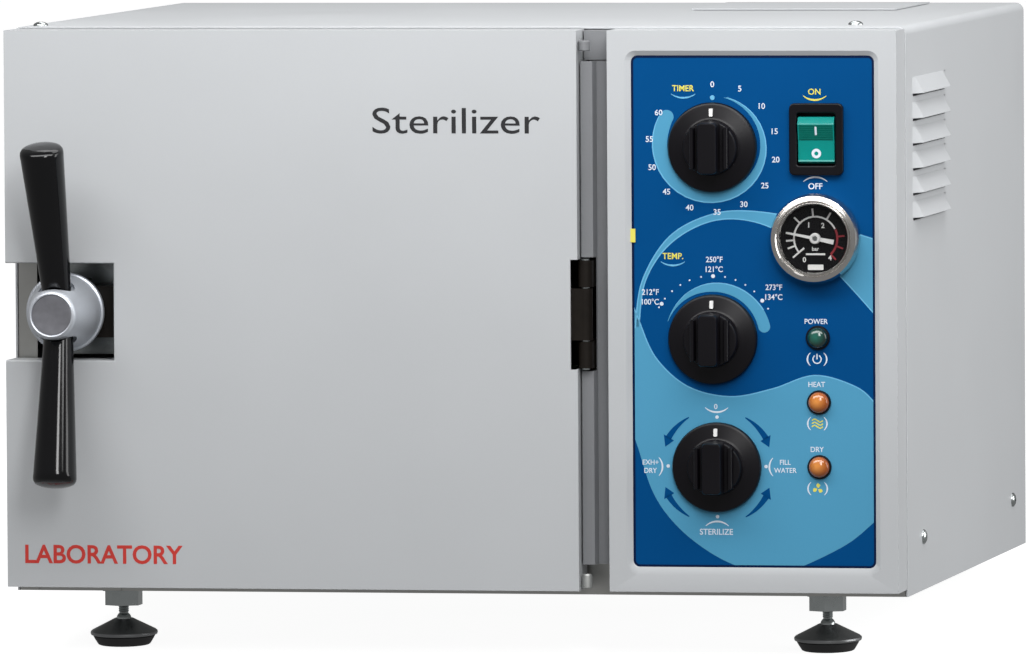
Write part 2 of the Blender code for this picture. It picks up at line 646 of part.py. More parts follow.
def front_foot(name, x):
    """A levelling foot: nut on the base, ball-ended stud, and a pad that stands level."""
    nut = rod(name + "_nut", (x, FOOT_Y, -0.0057), 0.0096, 0.0074, "z", "zinc_steel", sides=6)
    collar = box(name + "_flange", (x - 0.0086, x + 0.0086), (FOOT_Y - 0.0086, FOOT_Y + 0.0086),
                 (-0.0022, -GAP))
    bore = rod(name + "_nut_bore", (x, FOOT_Y, -0.006), 0.0036, 0.02, "z", sides=20)
    cut(join(nut, collar), bore)
    ball = 0.0042
    stud = [(0, -0.0008), (0.0032, -0.0008), (0.0032, -0.0136)]
    stud += [(ball * math.sin(a), BALL_Z + ball * math.cos(a))
             for a in (math.radians(50 + 10 * i) for i in range(13))]
    stud.append((0, BALL_Z - ball))
    turned(name + "_stud", stud, (x, FOOT_Y, 0), "z", "zinc_steel", steps=20)

    ball_point = ROOT.matrix_world @ Vector((x, FOOT_Y, BALL_Z))
    cup = ball + GAP
    socket = [(cup * math.sin(a), BALL_H + cup * math.cos(a))
              for a in (math.radians(180 - 15 * i) for i in range(9))]
    pad = socket + [(0.0052, 0.0141), (0.0164, 0.0076), (0.0160, 0.0058), (0.0124, 0.0),
                    (0, 0.0)]
    foot = turned(name + "_pad", pad, (ball_point.x, ball_point.y, 0), "z", "foot_rubber",
                  steps=32)
    foot.parent = None


def rear_foot(name, x, floor):
    """A short rubber foot, cut level with the floor."""
    foot = rod(name, (x, REAR_FOOT_Y, -0.0103), 0.0125, 0.020, "z", "foot_rubber",
               sides=32, tip=0.0145)
    cut(foot, floor)


def feet():
    bpy.context.view_layer.update()
    for side, x in (("left", -FOOT_X), ("right", FOOT_X)):
        front_foot("foot_front_" + side, x)
    floor = box("floor_cut", (-0.4, 0.4), (-0.4, 0.4), (-0.1, 0), parent=None)
    for side, x in (("left", -REAR_FOOT_X), ("right", REAR_FOOT_X)):
        rear_foot("foot_rear_" + side, x, floor)


casing()
chamber()
door()
closing_handle()
fascia()
for knob_name, (knob_x, knob_z) in KNOBS.items():
    knob(knob_name, knob_x, knob_z)
control_bodies()
gauge()
power_switch()
lamps()
filling()
rear_fittings()
feet()
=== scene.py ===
"""Looks of the benchtop autoclave: finer pieces, finishes, studio light and camera.

Pieces are drawn in the casing's own frame, in millimetres: x to the right, y from the
casing's front edge to the rear, z up from its underside.  CASING puts that frame into the
row frame, so each piece lands on the CAD part that it stands for or sits on.
"""

import json
import math

import bmesh
import bpy
from mathutils import Matrix, Vector


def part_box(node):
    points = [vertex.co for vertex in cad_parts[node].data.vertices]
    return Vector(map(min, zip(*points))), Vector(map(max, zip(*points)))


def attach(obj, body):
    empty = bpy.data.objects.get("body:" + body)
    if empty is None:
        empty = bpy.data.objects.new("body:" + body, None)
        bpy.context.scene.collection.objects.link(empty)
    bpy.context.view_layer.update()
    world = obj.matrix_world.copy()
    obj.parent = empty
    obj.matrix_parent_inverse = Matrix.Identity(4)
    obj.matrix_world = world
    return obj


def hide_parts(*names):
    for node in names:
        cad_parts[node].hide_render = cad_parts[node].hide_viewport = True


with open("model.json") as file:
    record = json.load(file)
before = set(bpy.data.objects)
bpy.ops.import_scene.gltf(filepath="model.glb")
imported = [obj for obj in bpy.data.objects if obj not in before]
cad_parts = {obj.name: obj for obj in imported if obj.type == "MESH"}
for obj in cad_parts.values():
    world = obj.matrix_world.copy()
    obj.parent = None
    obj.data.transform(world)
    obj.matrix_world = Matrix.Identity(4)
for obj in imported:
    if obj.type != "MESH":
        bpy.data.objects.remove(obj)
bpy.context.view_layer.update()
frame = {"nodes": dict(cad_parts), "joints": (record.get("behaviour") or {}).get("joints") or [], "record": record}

# ------------------------------------------------------------- the casing's frame (mm)
MID_Z = 137.0                       # chamber, door bar and closing handle
FACE_Y = -26.0                      # front of the door and of the fascia
HINGE = Vector((66.5, -20.5, MID_Z))
CASE_W, CASE_D, CASE_H = 440.0, 375.0, 275.0
SHEET = 1.2
SKIN = 1.5


def casing_matrix():
    """The casing's frame, read off the door's hinge: its axis is up, its place is HINGE."""
    swing = next(j for j in frame["joints"] if j["name"] == "door_swing")
    right = Vector((1, 0, 0))
    up = Vector(swing["axis"]).normalized()
    turn = Matrix((right, up.cross(right), up)).transposed()
    origin = Vector(swing["pos_m"]) - turn @ (HINGE / 1000)
    return Matrix.Translation(origin) @ turn.to_4x4()


CASING = casing_matrix()
MILLIMETRES = Matrix.Diagonal((0.001, 0.001, 0.001, 1))

DOOR_X, DOOR_Z = (-219.0, 63.5), (3.5, 274.0)
DOOR_BACK = -4.0
KNUCKLE_Z = (4.5, 264.0)
NOTCH_X, NOTCH_Z = -165.3, (113.8, 161.0)
FASCIA_X, FASCIA_Z = (78.5, 219.5), (3.5, 274.0)
WINDOW_X, WINDOW_Z = (90.0, 208.5), (15.5, 262.0)
WINDOW_RIM_X, WINDOW_RIM_Z = (87.2, 210.8), (11.6, 264.3)
OVERLAY_Y = -24.2                   # printed face of the control overlay
INK = 0.08                          # height of one printed layer

KNOBS = {"timer": (129.8, 217.8), "thermostat": (129.6, 125.4), "valve": (131.2, 63.8)}
KNOB_R = 21.7
KNOB_BACK = -24.5
GAUGE = (179.9, 174.2)
GAUGE_R = 21.7
GAUGE_FACE_Y = -25.85
NEEDLE_REST = -79.0
SWITCH = (180.5, 221.8)
ROCKER_PIVOT_Y = -20.0
ROCKER_TILT = math.radians(6)
LAMPS = {"ready_lamp": (180.6, 126.3, "lamp_green"), "heat_lamp": (181.0, 95.2, "lamp_amber"),
         "dry_lamp": (181.1, 64.1, "lamp_amber")}

ICON_X, ICON_Z = 180.1, (116.0, 85.0, 53.7)     # signs under the three lamps

HANDLE_X = -191.0
HANDLE_TURN = math.radians(-1.9)
HANDLE_RAKE = math.radians(17)
CROSSING = Vector((HANDLE_X, -31.9, MID_Z))

LID_X, LID_Y = (71.5, 175.0), (248.5, 354.5)
LID_PLUG = 3.2                      # from the lid's edge in to its plug
MOUTH_X, MOUTH_Y = (73.5, 173.0), (250.5, 352.5)
LOUVRES, LOUVRE_PITCH, LOUVRE_LIP_Z = 6, 12.0, 182.0
LOUVRE_Y = (19.0, 120.0)


# ---------------------------------------------------------------------------- finishes
def shader(name):
    made = bpy.data.materials.new(name)
    made.use_nodes = True
    tree = made.node_tree
    return made, tree, tree.nodes["Principled BSDF"]


def add(tree, kind, **values):
    """A node with its settings; a name that isn't a setting is an input socket."""
    node = tree.nodes.new(kind)
    for key, value in values.items():
        if hasattr(node, key):
            setattr(node, key, value)
        else:
            node.inputs[key.replace("_", " ").title()].default_value = value
    return node


def tint(colour, factor):
    return tuple(min(1.0, channel * factor) for channel in colour) + (1,)


def finish(name, colour, rough, metal=0.0, blotch=0.03, grain=900.0, relief=2e-5,
           spread=0.05, stretch=(1, 1, 1), alpha=1.0, specular=0.5):
    """Cloudy colour, fine grain in the gloss and a fine relief, all from noise."""
    made, tree, base = shader(name)
    place = add(tree, "ShaderNodeTexCoord")
    scale = add(tree, "ShaderNodeMapping")
    scale.inputs["Scale"].default_value = stretch
    fine = add(tree, "ShaderNodeTexNoise", scale=grain, detail=3.0)
    cloud = add(tree, "ShaderNodeTexNoise", scale=14.0, detail=4.0)
    both = add(tree, "ShaderNodeMath", operation="MULTIPLY_ADD")
    both.inputs[1].default_value = 0.4
    ramp = add(tree, "ShaderNodeValToRGB")
    ramp.color_ramp.elements[0].position = 0.35
    ramp.color_ramp.elements[0].color = tint(colour, 1 - blotch)
    ramp.color_ramp.elements[1].position = 0.95
    ramp.color_ramp.elements[1].color = tint(colour, 1 + blotch)
    gloss = add(tree, "ShaderNodeMapRange")
    gloss.inputs["To Min"].default_value = max(0.02, rough - spread)
    gloss.inputs["To Max"].default_value = rough + spread
    bump = add(tree, "ShaderNodeBump", strength=0.6, distance=relief)
    wire = tree.links.new
    wire(place.outputs["Object"], scale.inputs["Vector"])
    wire(scale.outputs["Vector"], fine.inputs["Vector"])
    wire(place.outputs["Object"], cloud.inputs["Vector"])
    wire(fine.outputs["Fac"], both.inputs[0])
    wire(cloud.outputs["Fac"], both.inputs[2])
    wire(both.outputs["Value"], ramp.inputs["Fac"])
    wire(ramp.outputs["Color"], base.inputs["Base Color"])
    wire(both.outputs["Value"], gloss.inputs["Value"])
    wire(gloss.outputs["Result"], base.inputs["Roughness"])
    wire(fine.outputs["Fac"], bump.inputs["Height"])
    wire(bump.outputs["Normal"], base.inputs["Normal"])
    base.inputs["Metallic"].default_value = metal
    base.inputs["Specular IOR Level"].default_value = specular
    base.inputs["Alpha"].default_value = alpha
    return made


def lens(name, painted_glow, rim, rough):
    """Translucent lens with painted light: a painted glow near its crown, painted shade at its rim."""
    made, tree, base = shader(name)
    place = add(tree, "ShaderNodeTexCoord")
    grain = add(tree, "ShaderNodeTexNoise", scale=60.0, detail=2.0)
    ramp = add(tree, "ShaderNodeValToRGB")
    # painted glow colour at the glow's centre, painted shade colour towards the rim
    ramp.color_ramp.elements[0].position = 0.12
    ramp.color_ramp.elements[0].color = (*painted_glow, 1)
    ramp.color_ramp.elements[1].position = 0.52
    ramp.color_ramp.elements[1].color = (*rim, 1)
    # distance from the painted glow's centre, a little left of and above the lens's middle
    glow_distance = add(tree, "ShaderNodeVectorMath", operation="DISTANCE")
    glow_distance.inputs[1].default_value = (0.42, 0.0, 0.56)
    flat = add(tree, "ShaderNodeVectorMath", operation="MULTIPLY")
    flat.inputs[1].default_value = (1, 0, 1)
    mixed = add(tree, "ShaderNodeMath", operation="MULTIPLY_ADD")
    mixed.inputs[1].default_value = 0.12
    gloss = add(tree, "ShaderNodeMapRange")
    gloss.inputs["To Min"].default_value = rough
    gloss.inputs["To Max"].default_value = rough + 0.08
    bump = add(tree, "ShaderNodeBump", strength=0.4, distance=2e-5)
    wire = tree.links.new
    wire(place.outputs["Generated"], flat.inputs[0])
    wire(flat.outputs["Vector"], glow_distance.inputs[0])
    wire(place.outputs["Generated"], grain.inputs["Vector"])
    wire(grain.outputs["Fac"], mixed.inputs[0])
    wire(glow_distance.outputs["Value"], mixed.inputs[2])
    wire(mixed.outputs["Value"], ramp.inputs["Fac"])
    wire(ramp.outputs["Color"], base.inputs["Base Color"])
    wire(grain.outputs["Fac"], gloss.inputs["Value"])
    wire(gloss.outputs["Result"], base.inputs["Roughness"])
    wire(grain.outputs["Fac"], bump.inputs["Height"])
    wire(bump.outputs["Normal"], base.inputs["Normal"])
    base.inputs["Coat Weight"].default_value = 0.7
    base.inputs["Coat Roughness"].default_value = 0.06
    return made


def ink(name, colour, rough=0.45, blotch=0.03, grain=1600, specular=0.15):
    """Print: an even colour with hardly any relief."""
    return finish(name, colour, rough, blotch=blotch, grain=grain, relief=1e-5,
                  specular=specular)


GREY = (0.48, 0.495, 0.51)
FINISHES = {
    "casing_enamel": finish("casing_enamel", GREY, 0.42, blotch=0.02, grain=1300, relief=3e-5),
    "front_enamel": finish("front_enamel", GREY, 0.36, blotch=0.02, grain=1100, relief=2e-5),
    # darker than the front enamel: painted shade of the channel between door and fascia
    "strip_enamel": finish("strip_enamel", (0.20, 0.205, 0.215), 0.45, blotch=0.05, grain=900,
                           relief=2e-5, specular=0.3),
    "inner_zinc": finish("inner_zinc", (0.42, 0.43, 0.42), 0.45, 0.9, 0.25, 60, 1e-5, 0.12),
    "stainless": finish("stainless", (0.55, 0.55, 0.53), 0.30, 1.0, 0.06, 240, 1e-5, 0.08,
                        (1, 14, 1)),
    "overlay_print": ink("overlay_print", (0.0003, 0.060, 0.205), blotch=0.04, specular=0.05),
    # the dark line round the overlay's edge uses the same even finish as the print
    "print_border": ink("print_border", (0.002, 0.010, 0.045), blotch=0.1, specular=0.08),
    "print_pale": ink("print_pale", (0.075, 0.300, 0.480)),
    "print_edge": ink("print_edge", (0.140, 0.430, 0.660)),
    "print_white": ink("print_white", (0.66, 0.72, 0.80), grain=1800),
    "print_yellow": ink("print_yellow", (0.72, 0.66, 0.12), blotch=0.05, grain=1800),
    "print_black": ink("print_black", (0.018, 0.018, 0.020), 0.4, 0.1, 1500, 0.5),
    "print_red": ink("print_red", (0.560, 0.040, 0.030), 0.4, 0.05, 1500, 0.5),
    "dial_red": ink("dial_red", (0.30, 0.02, 0.03), 0.4, 0.08, 1500, 0.5),
    "black_bakelite": finish("black_bakelite", (0.0015, 0.0015, 0.002), 0.09, blotch=0.3,
                             grain=420, relief=4e-6, spread=0.03, specular=0.4),
    "knob_plastic": finish("knob_plastic", (0.0035, 0.003, 0.0045), 0.30, blotch=0.2,
                           grain=1700, relief=2.5e-5, spread=0.08, specular=0.25),
    "chrome": finish("chrome", (0.62, 0.60, 0.575), 0.17, 1.0, 0.06, 500, 5e-6, 0.05),
    "satin_chrome": finish("satin_chrome", (0.62, 0.65, 0.70), 0.36, 0.6, 0.05, 900, 1.2e-5,
                           0.06),
    "hub_disc": finish("hub_disc", (0.42, 0.42, 0.46), 0.34, 1.0, 0.25, 300, 1.5e-5, 0.08),
    "black_steel": finish("black_steel", (0.008, 0.006, 0.0045), 0.42, 0.3, 0.5, 300, 3e-5, 0.1,
                          specular=0.25),
    "zinc_steel": finish("zinc_steel", (0.46, 0.49, 0.49), 0.22, 1.0, 0.2, 260, 1.5e-5, 0.1),
    "door_seal": finish("door_seal", (0.50, 0.16, 0.07), 0.6, blotch=0.1, grain=700,
                        relief=5e-5),
    "insulation_wool": finish("insulation_wool", (0.72, 0.68, 0.55), 0.95, blotch=0.2,
                              grain=300, relief=8e-4),
    "heater_mica": finish("heater_mica", (0.33, 0.26, 0.18), 0.6, 0.2, 0.25, 180, 5e-5, 0.1),
    "tank_plastic": finish("tank_plastic", (0.72, 0.74, 0.73), 0.5, blotch=0.04, grain=500,
                           relief=3e-5),
    "component_plastic": finish("component_plastic", (0.05, 0.05, 0.055), 0.5, blotch=0.15,
                                grain=900, relief=4e-5),
    "brass": finish("brass", (0.66, 0.48, 0.20), 0.28, 1.0, 0.1, 300, 1e-5, 0.08, (1, 8, 1)),
    "dial_black": finish("dial_black", (0.002, 0.002, 0.003), 0.5, blotch=0.2, grain=1500,
                         relief=1e-5, specular=0.06),
    "needle_white": finish("needle_white", (0.85, 0.85, 0.84), 0.4, blotch=0.03, grain=900,
                           relief=1e-5),
    "gauge_glass": finish("gauge_glass", (0.01, 0.01, 0.01), 0.04, blotch=0.2, grain=40,
                          relief=1e-6, spread=0.02, alpha=0.12, specular=1.0),
    "rocker_green": finish("rocker_green", (0.001, 0.23, 0.20), 0.22, blotch=0.12, grain=260,
                           relief=2e-5, spread=0.06, specular=0.3),
    # darker green for the ribs on the rocker's upper half: painted shade there
    "rocker_deep": finish("rocker_deep", (0.001, 0.135, 0.105), 0.3, blotch=0.15, grain=400,
                          relief=2e-5, spread=0.06, specular=0.2),
    # lamp lenses: first colour is the painted glow, second the painted shade at the rim
    "lamp_green": lens("lamp_green", (0.010, 0.120, 0.085), (0.003, 0.022, 0.018), 0.14),
    "lamp_amber": lens("lamp_amber", (0.70, 0.26, 0.05), (0.34, 0.075, 0.005), 0.16),
    "foot_cap": finish("foot_cap", (0.24, 0.245, 0.25), 0.26, 0.85, 0.3, 300, 2e-5, 0.1),
    "foot_rubber": finish("foot_rubber", (0.020, 0.019, 0.020), 0.62, blotch=0.2, grain=900,
                          relief=6e-5),
}


def dress_cad_nodes():
    """Every CAD node that stays in view takes the finish of its material slot."""
    slots = {m.get("slot") for m in frame["record"]["materials"]}
    for node in frame["nodes"].values():
        for socket in node.material_slots:
            name = socket.material.name.split(".")[0]
            if name in slots:
                socket.material = FINISHES[name]


# ------------------------------------------------------------------------- mesh helpers
def link(obj):
    bpy.context.scene.collection.objects.link(obj)
    return obj


def piece(name, shape, look, body, stands_for=(), crease=35, own=CASING):
    """File a shape drawn in millimetres as one shown piece that rides on a body."""
    bmesh.ops.remove_doubles(shape, verts=shape.verts, dist=1e-4)
    bmesh.ops.recalc_face_normals(shape, faces=shape.faces)
    shape.transform(own @ MILLIMETRES)
    mesh = bpy.data.meshes.new(name)
    shape.to_mesh(mesh)
    shape.free()
    mesh.polygons.foreach_set("use_smooth", [True] * len(mesh.polygons))
    mesh.set_sharp_from_angle(angle=math.radians(crease))
    mesh.materials.append(FINISHES[look])
    obj = link(bpy.data.objects.new(name, mesh))
    shade = obj.modifiers.new("flat_faces", "WEIGHTED_NORMAL")
    shade.keep_sharp = True
    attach(obj, body)
    if stands_for:
        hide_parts(*stands_for)
    return obj


def arc(centre, radius, start, end, count):
    """Points on an arc, angles in degrees."""
    turns = [math.radians(start + (end - start) * i / count) for i in range(count + 1)]
    return [(centre[0] + radius * math.cos(a), centre[1] + radius * math.sin(a)) for a in turns]


def rounded_outline(xs, zs, radius, count=6):
    """A rectangle with rounded corners, drawn anticlockwise from the lower right."""
    corners = [(xs[1] - radius, zs[0] + radius, -90), (xs[1] - radius, zs[1] - radius, 0),
               (xs[0] + radius, zs[1] - radius, 90), (xs[0] + radius, zs[0] + radius, 180)]
    outline = []
    for across, up, turn in corners:
        outline += arc((across, up), radius, turn, turn + 90, count)
    return outline


def smooth(points, steps=8, closed=False):
    """A Catmull-Rom curve through a few points."""
    count = len(points)
    curve = []
    for i in range(count if closed else count - 1):
        if closed:
            four = [points[(i + k) % count] for k in (-1, 0, 1, 2)]
        else:
            four = [points[min(max(i + k, 0), count - 1)] for k in (-1, 0, 1, 2)]
        before, start, end, after = (Vector(p) for p in four)
        for step in range(steps):
            t = step / steps
            bend = 2 * start + (end - before) * t
            bend += (2 * before - 5 * start + 4 * end - after) * t * t
            bend += (3 * start - before - 3 * end + after) * t * t * t
            curve.append(tuple(bend / 2))
    if not closed:
        curve.append(tuple(points[-1]))
    return curve


def axis_point(axis, across, up, along):
    return {"x": (along, across, up), "y": (across, along, up), "z": (across, up, along)}[axis]


def loft(shape, rings):
    """Join rings of equal length into a closed skin with both ends capped."""
    made = [[shape.verts.new(point) for point in ring] for ring in rings]
    for ring, other in zip(made, made[1:]):
        for i in range(len(ring)):
            j = (i + 1) % len(ring)
            shape.faces.new((ring[i], ring[j], other[j], other[i]))
    shape.faces.new(made[0])
    shape.faces.new(made[-1][::-1])
    return shape


def prism(outline, axis, low, high, shape=None):
    shape = shape or bmesh.new()
    rings = [[axis_point(axis, a, u, along) for a, u in outline] for along in (low, high)]
    return loft(shape, rings)


def block(xs, ys, zs, shape=None):
    outline = [(xs[0], zs[0]), (xs[1], zs[0]), (xs[1], zs[1]), (xs[0], zs[1])]
    return prism(outline, "y", ys[0], ys[1], shape)


def lathe(profile, centre, axis="y", steps=64, shape=None):
    """Turn (radius, height) points about an axis; along y the height points to the front."""
    shape = shape or bmesh.new()
    rings = []
    for radius, height in profile:
        radius = max(radius, 0.01)
        ring = []
        for i in range(steps):
            a = 2 * math.pi * i / steps
            side, up = radius * math.cos(a), radius * math.sin(a)
            offset = (side, -height, up) if axis == "y" else (side, up, height)
            ring.append(Vector(centre) + Vector(offset))
        rings.append(ring)
    return loft(shape, rings)


def soften(shape, width, segments=3, angle=40, chosen=None):
    """Round the sharp edges, or only those whose midpoint passes a test."""
    edges = [e for e in shape.edges
             if len(e.link_faces) == 2 and e.calc_face_angle(0) > math.radians(angle)]
    if chosen:
        edges = [e for e in edges if chosen((e.verts[0].co + e.verts[1].co) / 2)]
    bmesh.ops.bevel(shape, geom=edges, offset=width, segments=segments, profile=0.5,
                    affect="EDGES", clamp_overlap=True)
    return shape


def temporary(shape):
    mesh = bpy.data.meshes.new("temporary")
    bmesh.ops.recalc_face_normals(shape, faces=shape.faces)
    shape.to_mesh(mesh)
    shape.free()
    return link(bpy.data.objects.new("temporary", mesh))


def absorb(shape, other):
    """Put one shape into another."""
    mesh = bpy.data.meshes.new("absorbed")
    other.to_mesh(mesh)
    other.free()
    shape.from_mesh(mesh)
    bpy.data.meshes.remove(mesh)


def carve(shape, tools, operation="DIFFERENCE"):
    """Boolean a shape with others and give back the finished shape."""
    obj = temporary(shape)
    cutters = [temporary(tool) for tool in tools]
    for cutter in cutters:
        change = obj.modifiers.new("carve", "BOOLEAN")
        change.operation = operation
        change.solver = "EXACT"
        change.object = cutter
    graph = bpy.context.evaluated_depsgraph_get()
    mesh = bpy.data.meshes.new_from_object(obj.evaluated_get(graph))
    made = bmesh.new()
    made.from_mesh(mesh)
    for old in [obj, *cutters]:
        bpy.data.objects.remove(old, do_unlink=True)
    return made


# ------------------------------------------------------------------------------- casing
def louvre_hood(shape, side, lip_z):
    """A pressed hood: flat sloped face, straight lip, and a flat facet at each end."""
    section = [(0.0, 8.0), (0.5, 7.3), (4.0, 0.9), (4.2, 0.2), (3.9, 0.0),
               (3.2, 0.0), (2.9, 0.7), (-0.4, 6.8), (-0.9, 7.2)]
    run = 9.0
    length = LOUVRE_Y[1] - LOUVRE_Y[0]
    stations = [(run * s, s) for s in (0.0, 0.5, 0.95, 1.0)]
    stations += [(length - run * s, s) for s in (1.0, 0.95, 0.5, 0.0)]
    rings = []
    for along, grown in stations:
        ring = [(side * (CASE_W / 2 + max(across, 0) * grown + min(across, 0)),
                 LOUVRE_Y[0] + along, lip_z + up) for across, up in section]
        rings.append(ring)
    loft(shape, rings)


def outer_cover():
    half, bend = CASE_W / 2, 4.0
    outline = [(half, 0)]
    outline += arc((half - bend, CASE_H - bend), bend, 0, 90, 8)
    outline += arc((bend - half, CASE_H - bend), bend, 90, 180, 8)
    outline += [(-half, 0), (SHEET - half, 0)]
    outline += arc((bend - half, CASE_H - bend), bend - SHEET, 180, 90, 8)
    outline += arc((half - bend, CASE_H - bend), bend - SHEET, 90, 0, 8)
    outline += [(half - SHEET, 0)]
    cover = prism(outline, "y", 0, CASE_D)
    tools = [block(MOUTH_X, MOUTH_Y, (CASE_H - 10, CASE_H + 10))]
    for side in (-1, 1):
        for i in range(LOUVRES):
            lip = LOUVRE_LIP_Z + i * LOUVRE_PITCH
            wall = sorted((side * 216, side * 222))
            tools.append(block(wall, (LOUVRE_Y[0] + 1.5, LOUVRE_Y[1] - 1.5),
                               (lip - 1.3, lip + 6.4)))
    cover = carve(cover, tools)
    soften(cover, 0.45, 3, chosen=lambda p: p.y < 0.05)
    for side in (-1, 1):
        for i in range(LOUVRES):
            louvre_hood(cover, side, LOUVRE_LIP_Z + i * LOUVRE_PITCH)
    piece("casing_wrap", cover, "casing_enamel", "casing", ("outer_cover",),
          crease=28)


def filling_lid():
    """The water tank's lid: a thin pressed plate, nearly flush, with a plug below it."""
    plate = block(LID_X, LID_Y, (CASE_H + 0.3, CASE_H + 1.0))
    soften(plate, 0.3, 2)
    outer, inner = ([(low + inset, high - inset) for low, high in (LID_X, LID_Y)]
                    for inset in (LID_PLUG, LID_PLUG + SHEET))
    walls = carve(block(*outer, (CASE_H - 7.5, CASE_H + 0.4)),
                  [block(*inner, (CASE_H - 20, CASE_H + 20))])
    lid = carve(plate, [walls], "UNION")
    piece("reservoir_lid_skin", lid, "casing_enamel", "filling_lid", ("reservoir_lid",))


def dome_screw(shape, point, outward):
    """A pan-head screw with a cross slot, standing on a face."""
    head = lathe([(3.6, 0.0), (3.6, 0.5), (3.2, 1.1), (2.2, 1.7), (0.9, 2.0), (0.0, 2.05)],
                 (0, 0, 0), "z", steps=24)
    slots = [block((-0.45, 0.45), (-1.9, 1.9), (1.2, 3.0)),
             block((-1.9, 1.9), (-0.45, 0.45), (1.2, 3.0))]
    head = carve(head, slots)
    turn = Vector((0, 0, 1)).rotation_difference(Vector(outward)).to_matrix().to_4x4()
    head.transform(Matrix.Translation(point) @ turn)
    absorb(shape, head)


def casing_screws():
    shape = bmesh.new()
    for side in (-1, 1):
        for y, z in ((46, 26), (330, 25)):
            dome_screw(shape, (side * CASE_W / 2, y, z), (side, 0, 0))
    for x, y in ((-209, 12), (191, 28)):
        dome_screw(shape, (x, y, CASE_H), (0, 0, 1))
    for x in (-195, -70, 70, 195):
        dome_screw(shape, (x, CASE_D - 0.7, 262), (0, 1, 0))
    for x in (-195, 20, 195):
        dome_screw(shape, (x, CASE_D - 0.7, 12), (0, 1, 0))
    piece("casing_screws", shape, "zinc_steel", "casing")


# ----------------------------------------------------------------------- door and fascia
def hollow_shell(xs, zs, back, corner, extra_walls=None):
    """A pressed cover: a rounded block with its inside taken out from the rear."""
    shell = block(xs, (FACE_Y, back), zs)
    soften(shell, corner, 6, chosen=lambda p: p.y < back - 0.1)
    inside = block((xs[0] + SKIN, xs[1] - SKIN), (FACE_Y + SKIN, back + 10),
                   (zs[0] + SKIN, zs[1] - SKIN))
    if extra_walls:
        inside = carve(inside, [extra_walls])
    return carve(shell, [inside])


def door_cover():
    notch_walls = block((-250, NOTCH_X + SKIN), (-50, 20), (NOTCH_Z[0] - SKIN, NOTCH_Z[1] + SKIN))
    shell = hollow_shell(DOOR_X, DOOR_Z, DOOR_BACK, 3.0, notch_walls)
    shell = carve(shell, [
        block((-250, NOTCH_X), (-50, 20), NOTCH_Z),
        block((NOTCH_X - 2, NOTCH_X + 3), (-16.5, 10), (MID_Z - 14, MID_Z + 14)),
        block((60, 70), (-50, 20), (110.5, 163.5))])
    bmesh.ops.dissolve_limit(shell, angle_limit=math.radians(0.5), verts=shell.verts,
                             edges=shell.edges)

    def notch_edge(p):
        inside = NOTCH_Z[0] - 0.1 < p.z < NOTCH_Z[1] + 0.1 and p.x < NOTCH_X + 0.1
        return inside and abs(p.y - FACE_Y) < 0.05 and p.x > DOOR_X[0] + 5
    soften(shell, 0.7, 3, chosen=notch_edge)
    piece("door_skin", shell, "front_enamel", "door", ("door_cover",))


def fascia():
    shell = hollow_shell(FASCIA_X, FASCIA_Z, -0.5, 3.0)
    outer = rounded_outline(WINDOW_RIM_X, WINDOW_RIM_Z, 5.0)
    inner = rounded_outline(WINDOW_X, WINDOW_Z, 3.2)
    slope = [[(x, FACE_Y, z) for x, z in outer], [(x, FACE_Y + SKIN, z) for x, z in inner]]
    front = [(x, FACE_Y - 1, z) for x, z in outer]
    behind = [(x, FACE_Y + SKIN + 1, z) for x, z in inner]
    shell = carve(shell, [loft(bmesh.new(), [front, *slope, behind])])
    piece("fascia_skin", shell, "front_enamel", "casing", ("control_fascia",),
          crease=25)
    tab = block((89.4, 91.8), (OVERLAY_Y - 0.7, OVERLAY_Y), (172.0, 178.5))
    soften(tab, 0.3, 2)
    piece("fascia_tab", tab, "print_yellow", "casing")


def gap_strip():
    """The folded strip between door and fascia, cut away where the hinge comes through."""
    section = [(64.2, 0.3), (64.2, -19.6), (64.6, -20.0), (69.6, -20.0), (70.2, -19.6),
               (71.2, -14.0), (77.2, -14.0), (77.2, 0.3), (76.0, 0.3), (76.0, -12.8),
               (70.2, -12.8), (69.2, -18.8), (65.4, -18.8), (65.4, 0.3)]
    strip = prism(section, "z", 16.0, 259.0)
    strip = carve(strip, [block((60, 70.9), (-30, 10), (109.5, 164.5))])
    block((64.2, 77.2), (-9.0, 0.3), (259.3, 273.5), strip)
    # the strip's darker grey is painted shade of the channel
    piece("gap_strip_fold", strip, "strip_enamel", "casing", ("gap_strip",))


def hinge_knuckles():
    """Turned pins at the two ends of the door's hinge line."""
    door_part = lathe([(2.6, 0), (2.9, 0.4), (2.9, 4.4), (2.4, 5.0), (0, 5.0)],
                      (HINGE.x, HINGE.y, KNUCKLE_Z[1]), "z", 32)
    # the knuckle in the channel takes the strip's painted-shade grey
    piece("door_knuckle_upper", door_part, "strip_enamel", "door")
    lower = lathe([(2.2, 0), (2.6, 0.5), (2.6, 6.0), (2.1, 7.0), (0, 7.0)],
                  (HINGE.x, HINGE.y, KNUCKLE_Z[0]), "z", 32)
    piece("casing_knuckle_lower", lower, "inner_zinc", "casing")


# ---------------------------------------------------------------------- closing handle
def along_bar(side):
    upright = Vector((0, -math.sin(HANDLE_RAKE), side * math.cos(HANDLE_RAKE)))
    return Matrix.Rotation(HANDLE_TURN, 3, "Y") @ upright


def bar_matrix(side):
    turn = Vector((0, 0, 1)).rotation_difference(along_bar(side)).to_matrix().to_4x4()
    return Matrix.Translation(CROSSING) @ turn


